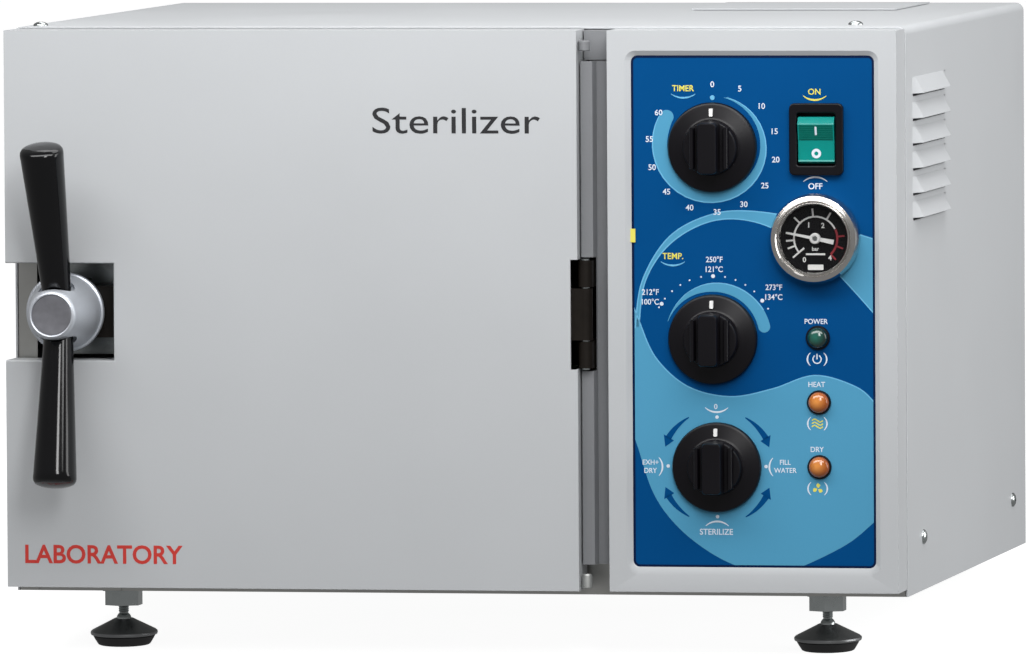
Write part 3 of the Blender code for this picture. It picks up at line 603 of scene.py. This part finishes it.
def handle():
    profile = [(4.4, 16.0), (17.6, 16.0), (19.0, 16.6), (19.4, 17.6), (19.4, 18.8),
               (19.0, 19.5), (18.2, 19.9)]
    profile += [(12.0 + 6.0 * (1 - t), 20.4 + 25.6 * t) for t in (0, 0.25, 0.5, 0.75, 1)]
    profile += [(12.1, 46.6), (12.1, 47.4), (11.8, 48.6), (11.2, 49.4), (10.4, 49.9),
                (9.9, 49.7), (9.7, 49.2), (9.7, 48.0), (0, 48.0)]
    hub = lathe(profile, (HANDLE_X, 0, MID_Z), steps=96)
    pockets = []
    for side in (1, -1):
        pocket = lathe([(8.9, 11.0), (8.9, 40.0)], (0, 0, 0), "z", 48)
        pocket.transform(bar_matrix(side))
        pockets.append(pocket)
    hub = carve(hub, pockets)
    piece("handle_hub_skin", hub, "satin_chrome", "closing_handle", ("handle_hub",),
          crease=32)
    disc = lathe([(0, 47.9), (9.6, 47.9), (9.6, 49.2), (9.2, 49.3), (6.0, 48.9), (0, 48.7)],
                 (HANDLE_X, 0, MID_Z), steps=72)
    piece("handle_hub_disc", disc, "hub_disc", "closing_handle")
    for name, side in (("upper", 1), ("lower", -1)):
        taper = [(7.1 + 3.5 * t, 11.3 + 69.5 * t) for t in (0, 0.2, 0.4, 0.6, 0.8, 1)]
        end = [(10.65, 82.4), (10.4, 83.6), (9.6, 84.7), (8.0, 85.4), (4.5, 86.0), (0, 86.2)]
        bar = lathe([(0, 11.3), *taper, *end], (0, 0, 0), "z", 64)
        bar.transform(bar_matrix(side))
        piece("handle_grip_" + name, bar, "black_bakelite", "closing_handle",
              ("handle_bar_" + name,), crease=50)


# ------------------------------------------------------------------------------- knobs
def knob(name, x, z):
    """A skirted knob: chamfered skirt, raised boss, tapered grip and two low ribs."""
    back = -KNOB_BACK
    profile = [(0, back), (21.0, back), (KNOB_R, back + 0.6), (KNOB_R, back + 2.0),
               (21.2, back + 2.9), (20.2, back + 3.4), (14.6, back + 4.6), (13.6, back + 5.2),
               (13.3, back + 6.2), (13.2, back + 8.8), (12.8, back + 9.6), (12.0, back + 9.9),
               (0, back + 9.9)]
    body = lathe(profile, (x, 0, z), steps=80)
    grip_rings = []
    for rise, wide, tall in ((7, 5.4, 12.9), (13, 4.9, 12.5), (16.6, 4.7, 12.3),
                             (17.3, 4.4, 12.0), (17.5, 3.8, 11.4)):
        outline = rounded_outline((x - wide, x + wide), (z - tall, z + tall), 1.8, 5)
        grip_rings.append([(a, -back - rise, u) for a, u in outline])
    loft(body, grip_rings)
    for side in (-1, 1):
        rib_rings = []
        for rise, half in ((9.0, 1.5), (12.6, 1.1), (13.0, 0.7)):
            rib = rounded_outline((x + side * 8.2 - half, x + side * 8.2 + half),
                                  (z - 10.0, z + 10.0), 0.6, 4)
            rib_rings.append([(a, -back - rise, u) for a, u in rib])
        loft(body, rib_rings)
    piece(name + "_cap", body, "knob_plastic", name + "_dial", (name + "_knob",),
          crease=30)
    mark = rounded_outline((x - 0.85, x + 0.85), (z + 15.0, z + 18.8), 0.4, 3)
    marker = prism(mark, "y", -back - 5.4, -back - 3.6)
    piece(name + "_marker", marker, "needle_white", name + "_dial")


# ------------------------------------------------------------------- gauge, switch, lamps
def around(centre, radius, degrees):
    """A point at a clockwise angle from the top."""
    a = math.radians(degrees)
    return (centre[0] + radius * math.sin(a), centre[1] + radius * math.cos(a))


def band(shape, centre, stations, front, thick, rounded_end=False):
    """A curved stroke through stations of (angle, radius, half width)."""
    path = smooth(stations, 10)
    outer = [around(centre, radius + half, angle) for angle, radius, half in path]
    inner = [around(centre, radius - half, angle) for angle, radius, half in path]
    outline = outer
    if rounded_end:
        angle, radius, _ = path[-1]
        middle = Vector(around(centre, radius, angle))
        first = Vector(outer[-1]) - middle
        for i in range(1, 12):
            turned = Matrix.Rotation(-math.pi * i / 12, 2) @ first
            outline.append(tuple(middle + turned))
    prism(outline + inner[::-1], "y", front - thick, front, shape)


def stroke(shape, start, end, half, front, thick):
    """A straight bar between two points."""
    a, b = Vector(start), Vector(end)
    side = (b - a).normalized().orthogonal() * half
    prism([a + side, b + side, b - side, a - side], "y", front - thick, front, shape)


def dot(shape, centre, radius, front, thick, count=20):
    prism(arc(centre, radius, 0, 360 - 360 / count, count - 1), "y", front - thick, front, shape)


def letters(shape, text, x, z, height, front, thick=INK, stretch=1.0, bold=0.0):
    """Generic lettering, centred on (x, z), set to a given height."""
    curve = bpy.data.curves.new("lettering", "FONT")
    curve.body = text
    curve.align_x = "CENTER"
    curve.offset = bold
    curve.resolution_u = 4
    curve.extrude = 0.5
    written = link(bpy.data.objects.new("lettering", curve))
    bpy.context.view_layer.update()
    graph = bpy.context.evaluated_depsgraph_get()
    mesh = bpy.data.meshes.new_from_object(written.evaluated_get(graph))
    lows = [min(v.co[k] for v in mesh.vertices) for k in range(3)]
    highs = [max(v.co[k] for v in mesh.vertices) for k in range(3)]
    size = height / (highs[1] - lows[1])
    middle = Vector([(low + high) / 2 for low, high in zip(lows, highs)])
    grow = Matrix.Diagonal((size * stretch, size, thick, 1))
    stand = Matrix.Rotation(math.pi / 2, 4, "X")
    mesh.transform(Matrix.Translation((x, front - thick / 2, z)) @ stand @ grow
                   @ Matrix.Translation(-middle))
    shape.from_mesh(mesh)
    bpy.data.objects.remove(written, do_unlink=True)
    bpy.data.curves.remove(curve)
    bpy.data.meshes.remove(mesh)


def gauge():
    x, z = GAUGE
    rim = [(GAUGE_R - 1.2, 24.5), (GAUGE_R, 24.8), (GAUGE_R, 28.6), (21.3, 30.6), (20.4, 32.2),
           (19.3, 33.2), (18.6, 33.4), (18.2, 33.0), (18.0, 32.5), (17.6, 32.5), (17.4, 32.9),
           (17.0, 32.9), (16.6, 32.4), (16.4, 31.4), (16.4, 26.0)]
    ring = lathe(rim, (x, 0, z), steps=96)
    hole = lathe([(16.4, 20), (16.4, 40)], (x, 0, z), steps=96)
    ring = carve(ring, [hole])
    soften(ring, 0.15, 2, 60)
    piece("gauge_bezel", ring, "chrome", "casing", crease=30)

    face = GAUGE_FACE_Y
    white, red = bmesh.new(), bmesh.new()
    band(white, GAUGE, [(-130, 10.5, 0.40), (-40, 10.5, 0.42), (64, 10.5, 0.38)], face, INK)
    band(red, GAUGE, [(66, 10.6, 0.5), (100, 10.6, 0.5), (136, 10.6, 0.5)], face, INK)
    for i, angle in enumerate((-130, -110, -95, -46, -6, 31)):
        low = 7.2 if i == 0 else 10.8
        stroke(white, around(GAUGE, low, angle), around(GAUGE, 14.4, angle), 0.42, face, INK)
    for angle in (85, 110, 136):
        stroke(red, around(GAUGE, 10.8, angle), around(GAUGE, 14.2, angle), 0.4, face, INK)
    for text, angle, radius in (("1", -27, 7.2), ("2", 30, 7.2), ("0", -152, 11.6),
                                ("4", 143, 11.6)):
        at = around(GAUGE, radius, angle)
        letters(white, text, at[0], at[1], 2.5, face, bold=0.02)
    letters(white, "bar", x, z - 5.0, 1.9, face, bold=0.02)
    stroke(white, (x - 4.7, z - 7.6), (x + 4.7, z - 7.6), 0.45, face, INK)
    prism(rounded_outline((x - 3.8, x + 3.8), (z - 15.2, z - 12.6), 0.4, 3), "y", face - INK,
          face, white)
    piece("gauge_scale", white, "needle_white", "casing")
    piece("gauge_scale_red", red, "dial_red", "casing")

    needle = bmesh.new()
    tip, tail = around(GAUGE, 14.4, NEEDLE_REST), around(GAUGE, 9.2, NEEDLE_REST + 180)
    side = Vector(around((0, 0), 1, NEEDLE_REST + 90))
    a, b = Vector(tip), Vector(tail)
    outline = [a + side * 0.45, Vector(GAUGE) + side * 0.75, Vector(GAUGE) - (a - b) * 0.12
               + side * 0.9, b + side * 1.15, b - side * 1.15,
               Vector(GAUGE) - (a - b) * 0.12 - side * 0.9, Vector(GAUGE) - side * 0.75,
               a - side * 0.45]
    prism(outline, "y", -27.6, -27.1, needle)
    lathe([(0, 26.3), (2.6, 26.3), (2.6, 27.9), (2.2, 28.3), (1.3, 28.3), (1.2, 27.8), (0, 27.8)],
          (x, 0, z), steps=40, shape=needle)
    piece("needle_arm", needle, "needle_white", "pressure_needle", ("gauge_needle",))
    dot_shape = bmesh.new()
    dot(dot_shape, GAUGE, 1.15, -27.8, 0.25, 24)
    piece("needle_cap", dot_shape, "zinc_steel", "pressure_needle")


def power_switch():
    x, z = SWITCH
    outer = rounded_outline((x - 13.1, x + 13.1), (z - 17.3, z + 17.3), 2.6)
    inner = rounded_outline((x - 9.4, x + 9.4), (z - 12.7, z + 12.7), 1.2)
    surround = carve(prism(outer, "y", -27.2, -24.5), [prism(inner, "y", -40, -20)])
    soften(surround, 0.7, 3, 60, chosen=lambda p: p.y < -27)
    case = carve(block((x - 11, x + 11), (-24.5, -2), (z - 14.4, z + 14.4)),
                 [prism(inner, "y", -40, -16)])
    absorb(surround, case)
    piece("switch_surround", surround, "knob_plastic", "casing", ("switch_frame",))

    side = [(0, -11.2), (-5.4, -11.2), (-7.2, -10.0), (-6.7, -9.3), (-5.9, 0.0), (-7.3, 8.0),
            (-7.0, 8.6), (-4.6, 11.2), (0, 11.2)]
    rocker = prism(side, "x", -8.8, 8.8)
    soften(rocker, 0.35, 3, 25)
    marks = bmesh.new()
    lower_face = Matrix.Rotation(math.radians(-4.9), 4, "X")
    upper_face = Matrix.Rotation(math.radians(9.9), 4, "X")
    bar = prism(rounded_outline((-0.5, 0.5), (-2.1, 2.1), 0.4, 3), "y", -0.3, 0)
    bar.transform(Matrix.Translation((0, -6.75, 4.9)) @ upper_face)
    ring = carve(prism(arc((0, 0), 2.3, 0, 350, 35), "y", -0.12, 0),
                 [prism(arc((0, 0), 1.0, 0, 340, 17), "y", -1, 1)])
    ring.transform(Matrix.Translation((0, -6.44, -6.2)) @ lower_face)
    ribs = prism([(-0.2, -3.6), (-0.2, 3.9), (0.05, 3.9), (0.05, -3.6)], "x", -8.2, 8.2)
    for i in range(7):
        rib_z = -3.2 + 1.1 * i
        block((-8.2, 8.2), (-0.32, -0.1), (rib_z, rib_z + 0.5), ribs)
    ribs.transform(Matrix.Translation((0, -6.55, 3.9)) @ upper_face)
    for mark in (bar, ring):
        absorb(marks, mark)
    pose = Matrix.Translation((x, ROCKER_PIVOT_Y, z)) @ Matrix.Rotation(ROCKER_TILT, 4, "X")
    rocker.transform(pose)
    marks.transform(pose)
    ribs.transform(pose)
    piece("rocker_cap", rocker, "rocker_green", "power_button", ("power_rocker",),
          crease=20)
    # the ribs carry the painted shade of the rocker's upper half
    piece("rocker_ribs", ribs, "rocker_deep", "power_button", crease=20)
    piece("rocker_marks", marks, "print_white", "power_button")


def lamps():
    for name, (x, z, look) in LAMPS.items():
        bezel = lathe([(4.3, 24.5), (5.9, 24.5), (5.9, 24.9), (5.6, 25.5), (5.1, 25.6),
                       (4.9, 25.0), (4.3, 24.9)], (x, 0, z), steps=48)
        piece(name + "_bezel", bezel, "knob_plastic", "casing")
        dome = [(0, 10.0), (3.9, 10.0), (3.9, 24.6), (5.0, 24.6), (5.0, 25.6)]
        dome += [(5.0 * math.cos(a), 25.6 + 3.3 * math.sin(a))
                 for a in (math.radians(9 * i) for i in range(1, 11))]
        piece(name + "_dome", lathe(dome, (x, 0, z), steps=48), look, "casing", (name,))


# ------------------------------------------------------------------------ printed panel
def pale_fields():
    """The two light-blue fields and the swooshes round the timer and the thermostat."""
    shape = bmesh.new()
    front = OVERLAY_Y
    right, left = WINDOW_X[1] + 0.6, WINDOW_X[0] - 0.6
    outer = smooth([(91.4, 130.5), (95.0, 153.5), (108.4, 174.8), (129.0, 185.5),
                    (150.0, 187.0), (180.0, 182.0), (right, 173.5)])
    inner = smooth([(right, 136.8), (190.0, 157.5), (172.0, 172.0), (150.0, 182.0),
                    (129.0, 182.3), (109.0, 171.6), (96.6, 153.6), (93.2, 131.5)])
    prism(outer + inner, "y", front - INK, front, shape)
    top = smooth([(left, 145.0), (93.0, 135.0), (101.4, 116.4), (117.0, 102.6), (137.6, 97.8),
                  (158.2, 101.6), (179.0, 108.2), (199.4, 102.6), (right, 94.0)])
    bottom = smooth([(right, 39.2), (194.9, 27.4), (173.4, 16.6), (165.0, WINDOW_Z[0] - 0.6),
                     (146.0, WINDOW_Z[0] - 0.6), (129.8, 21.2), (112.5, 34.1), (100.2, 50.4),
                     (92.4, 73.1), (left, 82.0)])
    prism(top + bottom, "y", front - INK, front, shape)
    band(shape, KNOBS["timer"], [(13, 24.6, 0.1), (90, 24.6, 1.4), (180, 23.8, 2.7),
                                 (270, 25.8, 3.6), (303, 26.8, 3.4)], front, INK, True)
    band(shape, KNOBS["thermostat"], [(-69, 23.8, 0.1), (-30, 24.3, 1.0), (0, 25.0, 2.1),
                                      (45, 25.6, 2.7), (76, 25.6, 2.9)], front, INK, True)
    piece("print_pale_fields", shape, "print_pale", "casing")

    edges = bmesh.new()
    thick = INK + 0.03
    for line in (outer, inner[:-1], top):
        for a, b in zip(line, line[1:]):
            stroke(edges, a, b, 0.28, front, thick)
    for knob_name, stations in (("timer", [(16, 24.9, 0.16), (90, 26.0, 0.28), (180, 26.5, 0.3),
                                           (270, 29.4, 0.3), (300, 30.1, 0.2)]),
                                ("thermostat", [(-60, 23.9, 0.1), (0, 27.0, 0.26),
                                                (60, 28.3, 0.28)])):
        band(edges, KNOBS[knob_name], stations, front, thick)
    piece("print_pale_edges", edges, "print_edge", "casing")


def overlay_border():
    """A dark line round the overlay, just inside the fascia's window."""
    inset = 1.1
    outer = rounded_outline(WINDOW_X, WINDOW_Z, 3.2)
    inner = rounded_outline((WINDOW_X[0] + inset, WINDOW_X[1] - inset),
                            (WINDOW_Z[0] + inset, WINDOW_Z[1] - inset), 3.2 - inset)
    top = OVERLAY_Y - INK * 2
    line = carve(prism(outer, "y", top, OVERLAY_Y), [prism(inner, "y", -40, -10)])
    piece("print_border_line", line, "print_border", "casing")


def smile(shape, x, z, reach, sag, half, upright=False):
    """A thin arc beside a word: sagging when sag is positive, arching when negative."""
    radius = (reach * reach + sag * sag) / (2 * abs(sag))
    spread = math.degrees(math.asin(reach / radius))
    way = math.copysign(1, sag)
    if upright:
        centre, base = (x + way * radius, z), 270 if way > 0 else 90
    else:
        centre, base = (x, z + way * radius), 180 if way > 0 else 0
    stations = [(base - spread, radius, half * 0.35), (base, radius, half),
                (base + spread, radius, half * 0.35)]
    band(shape, centre, stations, OVERLAY_Y, INK * 2)


def white_print():
    shape = bmesh.new()
    front, thick = OVERLAY_Y, INK * 2

    def write(text, x, z, height, **more):
        letters(shape, text, x, z, height, front, thick, bold=0.012, **more)

    timer, thermostat = KNOBS["timer"], KNOBS["thermostat"]
    for i in range(13):
        if i == 0:
            write("0", 129.7, 248.1, 2.9)
            continue
        at = around(timer, 31.2, 25.2 * i)
        write(str(5 * i), at[0], at[1], 2.8)
    write("OFF", 179.7, 199.2, 2.9)
    smile(shape, 179.7, 203.6, 5.8, -2.2, 0.45)
    for text, x, z in (("250°F", 130.2, 163.9), ("121°C", 130.2, 159.2),
                       ("212°F", 98.9, 148.1), ("100°C", 98.9, 143.4),
                       ("273°F", 159.2, 150.6), ("134°C", 159.2, 145.9)):
        write(text, x, z, 2.9, stretch=0.92)
    for degrees in (-60, -50.5, -41, -31.5, -22, -11, 11, 21, 31, 41, 61):
        dot(shape, around(thermostat, 30.6, degrees), 0.42, front, thick, 12)
    for degrees in (-56, 0, 52):
        dot(shape, around(thermostat, 30.4, degrees), 0.95, front, thick)
    for text, x, z in (("FILL", 164.4, 66.3), ("WATER", 164.4, 62.4),
                       ("EXH+", 98.6, 66.0), ("DRY", 98.6, 62.0)):
        write(text, x, z, 2.4, stretch=0.95)
    write("0", 130.6, 93.0, 2.6)
    write("STERILIZE", 130.6, 32.6, 2.9, stretch=0.95)
    smile(shape, 131.0, 90.3, 5.6, 2.2, 0.45)
    smile(shape, 131.0, 37.6, 5.6, -2.2, 0.45)
    smile(shape, 104.4, 63.9, 4.4, -1.8, 0.42, upright=True)
    smile(shape, 156.6, 64.0, 4.4, 1.8, 0.42, upright=True)
    for point in ((131.2, 87.9), (131.2, 39.9), (107.2, 64.2), (155.0, 64.2)):
        dot(shape, point, 0.85, front, thick)
    for text, x, z in (("POWER", 179.8, 134.2), ("HEAT", 179.9, 103.9), ("DRY", 180.0, 72.6)):
        write(text, x, z, 2.5, stretch=0.95)
    band(shape, (ICON_X, ICON_Z[0]), [(30, 2.0, 0.28), (180, 2.0, 0.28), (330, 2.0, 0.28)], front,
         thick)
    stroke(shape, (180.1, 115.9), (180.1, 118.6), 0.28, front, thick)
    for z in ICON_Z:
        smile(shape, 175.4, z, 3.1, 1.5, 0.38, upright=True)
        smile(shape, 184.8, z, 3.1, -1.5, 0.38, upright=True)
    piece("print_white_marks", shape, "print_white", "casing")


def yellow_print():
    shape = bmesh.new()
    front, thick = OVERLAY_Y, INK * 2
    letters(shape, "TIMER", 115.4, 246.2, 2.9, front, thick, stretch=0.95, bold=0.015)
    letters(shape, "ON", 179.4, 244.6, 2.9, front, thick, bold=0.015)
    letters(shape, "TEMP.", 110.0, 165.4, 3.0, front, thick, stretch=0.95, bold=0.015)
    smile(shape, 179.6, 240.6, 5.6, 2.0, 0.45)
    for i in range(3):
        z = 83.5 + 1.5 * i
        line = smooth([(177.4, z), (178.7, z + 0.7), (180.1, z), (181.5, z - 0.7),
                       (182.8, z)], 6)
        for a, b in zip(line, line[1:]):
            stroke(shape, a, b, 0.3, front, thick)
    for angle in (0, 120, 240):
        blade = [around((180.2, 53.7), r, angle + t) for r, t in
                 ((0.4, 0), (1.8, -24), (2.6, 0), (2.1, 34), (0.9, 40))]
        prism(smooth(blade, 5, True), "y", front - thick, front, shape)
    piece("print_yellow_marks", shape, "print_yellow", "casing")

    under = bmesh.new()
    smile(under, 115.5, 241.6, 5.9, 1.8, 0.42)
    smile(under, 110.0, 160.9, 5.9, 1.8, 0.42)
    dot(under, (129.7, 241.7), 1.15, front, thick)
    piece("print_pale_marks", under, "print_edge", "casing")


def navy_print():
    """Four curved arrows round the valve knob."""
    shape = bmesh.new()
    front, thick = OVERLAY_Y, INK * 2
    valve = KNOBS["valve"]
    for base in (45, 135, 225, 315):
        start, end = (base - 15, base + 15) if base in (45, 225) else (base + 15, base - 15)
        band(shape, valve, [(start, 27.6, 0.25), ((start + end) / 2, 27.6, 1.0),
                            (end, 27.6, 1.5)], front, thick)
        way = math.copysign(1, end - start)
        tip = around(valve, 27.2, end + way * 9)
        head = [around(valve, 30.4, end - way * 1), tip, around(valve, 24.6, end - way * 1)]
        prism(head, "y", front - thick, front, shape)
    piece("print_navy_marks", shape, "overlay_print", "casing")


def door_words():
    """Two plain generic words on the door."""
    dark, red = bmesh.new(), bmesh.new()
    letters(dark, "Sterilizer", 4.5, 230.5, 12.6, FACE_Y, INK, stretch=1.28)
    letters(red, "LABORATORY", -171.0, 19.6, 9.2, FACE_Y, INK, stretch=0.98, bold=0.02)
    piece("door_word_dark", dark, "print_black", "door")
    piece("door_word_red", red, "print_red", "door")


# --------------------------------------------------------------------------------- feet
def pad_frame(side):
    """A level frame on the floor under one front foot."""
    low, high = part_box("foot_front_" + side + "_pad")
    return Matrix.Translation(((low.x + high.x) / 2, (low.y + high.y) / 2, 0))


def feet():
    """Each front foot: a metal cap on a rubber sole, and the stud with the ball it swivels on."""
    for side in ("left", "right"):
        body, own = side + "_foot_pad", pad_frame(side)
        cap = lathe([(3.2, 11.2), (3.8, 12.6), (4.6, 12.8), (7.5, 11.3), (15.6, 7.2),
                     (16.4, 6.5), (16.5, 5.7), (16.2, 5.0), (15.4, 4.8), (3.2, 4.8)],
                    (0, 0, 0), "z", 72)
        socket = lathe([(3.0, 4.0), (3.0, 20)], (0, 0, 0), "z", 48)
        cap = carve(cap, [socket])
        piece(side + "_pad_cap", cap, "foot_cap", body, own=own, crease=30)
        sole = lathe([(0, 4.7), (14.9, 4.7), (15.2, 4.3), (14.6, 3.2), (13.4, 1.2), (12.8, 0.3),
                      (12.2, 0.0), (0, 0.0)], (0, 0, 0), "z", 72)
        piece(side + "_pad_sole", sole, "foot_rubber", body, ("foot_front_" + side + "_pad",),
              own=own)
        stud = "foot_front_" + side + "_stud"
        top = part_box("foot_front_" + side + "_nut")[0].z * 1000 + 2.0
        ball = [(3.7 * math.cos(math.radians(a)), 12.4 + 3.7 * math.sin(math.radians(a)))
                for a in range(-90, 56, 8)]
        thread = [(2.3 + 0.25 * (i % 2), 16.0 + 0.5 * i) for i in range(int((top - 16.0) * 2))]
        piece(side + "_foot_ball_stud", lathe([*ball, *thread, (0, top)], (0, 0, 0), "z", 48),
              "zinc_steel", "casing", (stud,), own=own)


def round_cad_edges():
    """Break the sharp edges of the CAD parts that stay in view."""
    widths = {"rear_panel": 0.0002, "door_bar": 0.0008, "hinge_bracket": 0.0006,
              "latch_plate": 0.0005, "mains_inlet": 0.0005, "base_pan": 0.0003,
              "front_panel": 0.0002}                # metres
    for side in ("left", "right"):
        widths["foot_front_" + side + "_nut"] = 0.0007
    for name, width in widths.items():
        bevel = frame["nodes"][name].modifiers.new("edges", "BEVEL")
        bevel.width = width
        bevel.segments = 2
        bevel.limit_method = "ANGLE"
        bevel.angle_limit = math.radians(40)
        bevel.harden_normals = True


# ------------------------------------------------------------------------------- studio
CAMERA_AT = Vector((1.269, -6.482, 0.487))     # in the casing's frame, metres
CAMERA_YAW, CAMERA_PITCH, CAMERA_ROLL = 10.846, 3.10, -0.35
CAMERA_LENS = 478.6
FLOOR_GLOW = 0.93                               # the floor's own light, so it reads white
FLOOR_REACH = 14.0
ROOM_LIGHT = 0.26
# each light's place and aim in metres, its width and height in metres, its power in watts
SOFTBOXES = {"key": ((0, -0.60, 0.80), (0, -0.23, 0.34), 1.5, 0.3, 9.4),
             "overhead": ((0.1, 0.25, 1.1), (0, 0.1, 0.3), 1.2, 0.5, 5.5),
             "front_right": ((0.55, -1.55, 1.0), (-0.1, -0.2, 0.1), 0.34, 0.6, 8.2),
             "side": ((1.25, 0.05, 0.45), (0, 0, 0.15), 0.9, 0.8, 9.6)}


def camera():
    yaw, pitch, roll = (math.radians(a) for a in (CAMERA_YAW, CAMERA_PITCH, CAMERA_ROLL))
    ahead = Vector((-math.sin(yaw) * math.cos(pitch), math.cos(yaw) * math.cos(pitch),
                    -math.sin(pitch)))
    right = Vector((math.cos(yaw), math.sin(yaw), 0))
    up = right.cross(ahead)
    level_right = math.cos(roll) * right + math.sin(roll) * up
    level_up = -math.sin(roll) * right + math.cos(roll) * up
    turn = Matrix((level_right, level_up, -ahead)).transposed().to_4x4()
    data = bpy.data.cameras.new("camera")
    data.sensor_width = 36.0
    data.lens = CAMERA_LENS
    data.clip_start, data.clip_end = 0.1, 100.0
    obj = link(bpy.data.objects.new("camera", data))
    obj.matrix_world = CASING @ Matrix.Translation(CAMERA_AT) @ turn
    bpy.context.scene.camera = obj


def softbox(name, place, aim, width, height, power):
    data = bpy.data.lights.new(name, "AREA")
    data.shape = "RECTANGLE"
    data.size, data.size_y = width, height
    data.energy = power
    obj = link(bpy.data.objects.new(name, data))
    obj.location = place
    obj.rotation_euler = (Vector(aim) - Vector(place)).to_track_quat("-Z", "Y").to_euler()
    obj.visible_camera = False


def floor():
    """A plain white floor.  It takes shadows, but neither lights the object nor mirrors in it."""
    mesh = bpy.data.meshes.new("floor")
    corners = [(FLOOR_REACH * x, FLOOR_REACH * y, 0) for x, y in
               ((-1, -1), (1, -1), (1, 1), (-1, 1))]
    mesh.from_pydata(corners, [], [(0, 1, 2, 3)])
    surface = finish("studio_floor", (0.30, 0.30, 0.30), 0.8, blotch=0.01, grain=200,
                     relief=1e-5, specular=0.1)
    glow = surface.node_tree.nodes["Principled BSDF"]
    glow.inputs["Emission Color"].default_value = (1, 1, 1, 1)
    glow.inputs["Emission Strength"].default_value = FLOOR_GLOW
    mesh.materials.append(surface)
    plane = link(bpy.data.objects.new("floor", mesh))
    plane.visible_diffuse = False
    plane.visible_glossy = False


def studio():
    scene = bpy.context.scene
    scene.view_settings.view_transform = "Standard"
    world = bpy.data.worlds.new("studio")
    scene.world = world
    world.use_nodes = True
    world.node_tree.nodes["Background"].inputs["Color"].default_value = (1, 1, 1, 1)
    world.node_tree.nodes["Background"].inputs["Strength"].default_value = ROOM_LIGHT
    for name, settings in SOFTBOXES.items():
        softbox(name, *settings)


dress_cad_nodes()
outer_cover()
filling_lid()
casing_screws()
door_cover()
fascia()
gap_strip()
hinge_knuckles()
handle()
for knob_name, (knob_x, knob_z) in KNOBS.items():
    knob(knob_name, knob_x, knob_z)
gauge()
power_switch()
lamps()
pale_fields()
overlay_border()
white_print()
yellow_print()
navy_print()
door_words()
feet()
round_cad_edges()
floor()
studio()
camera()
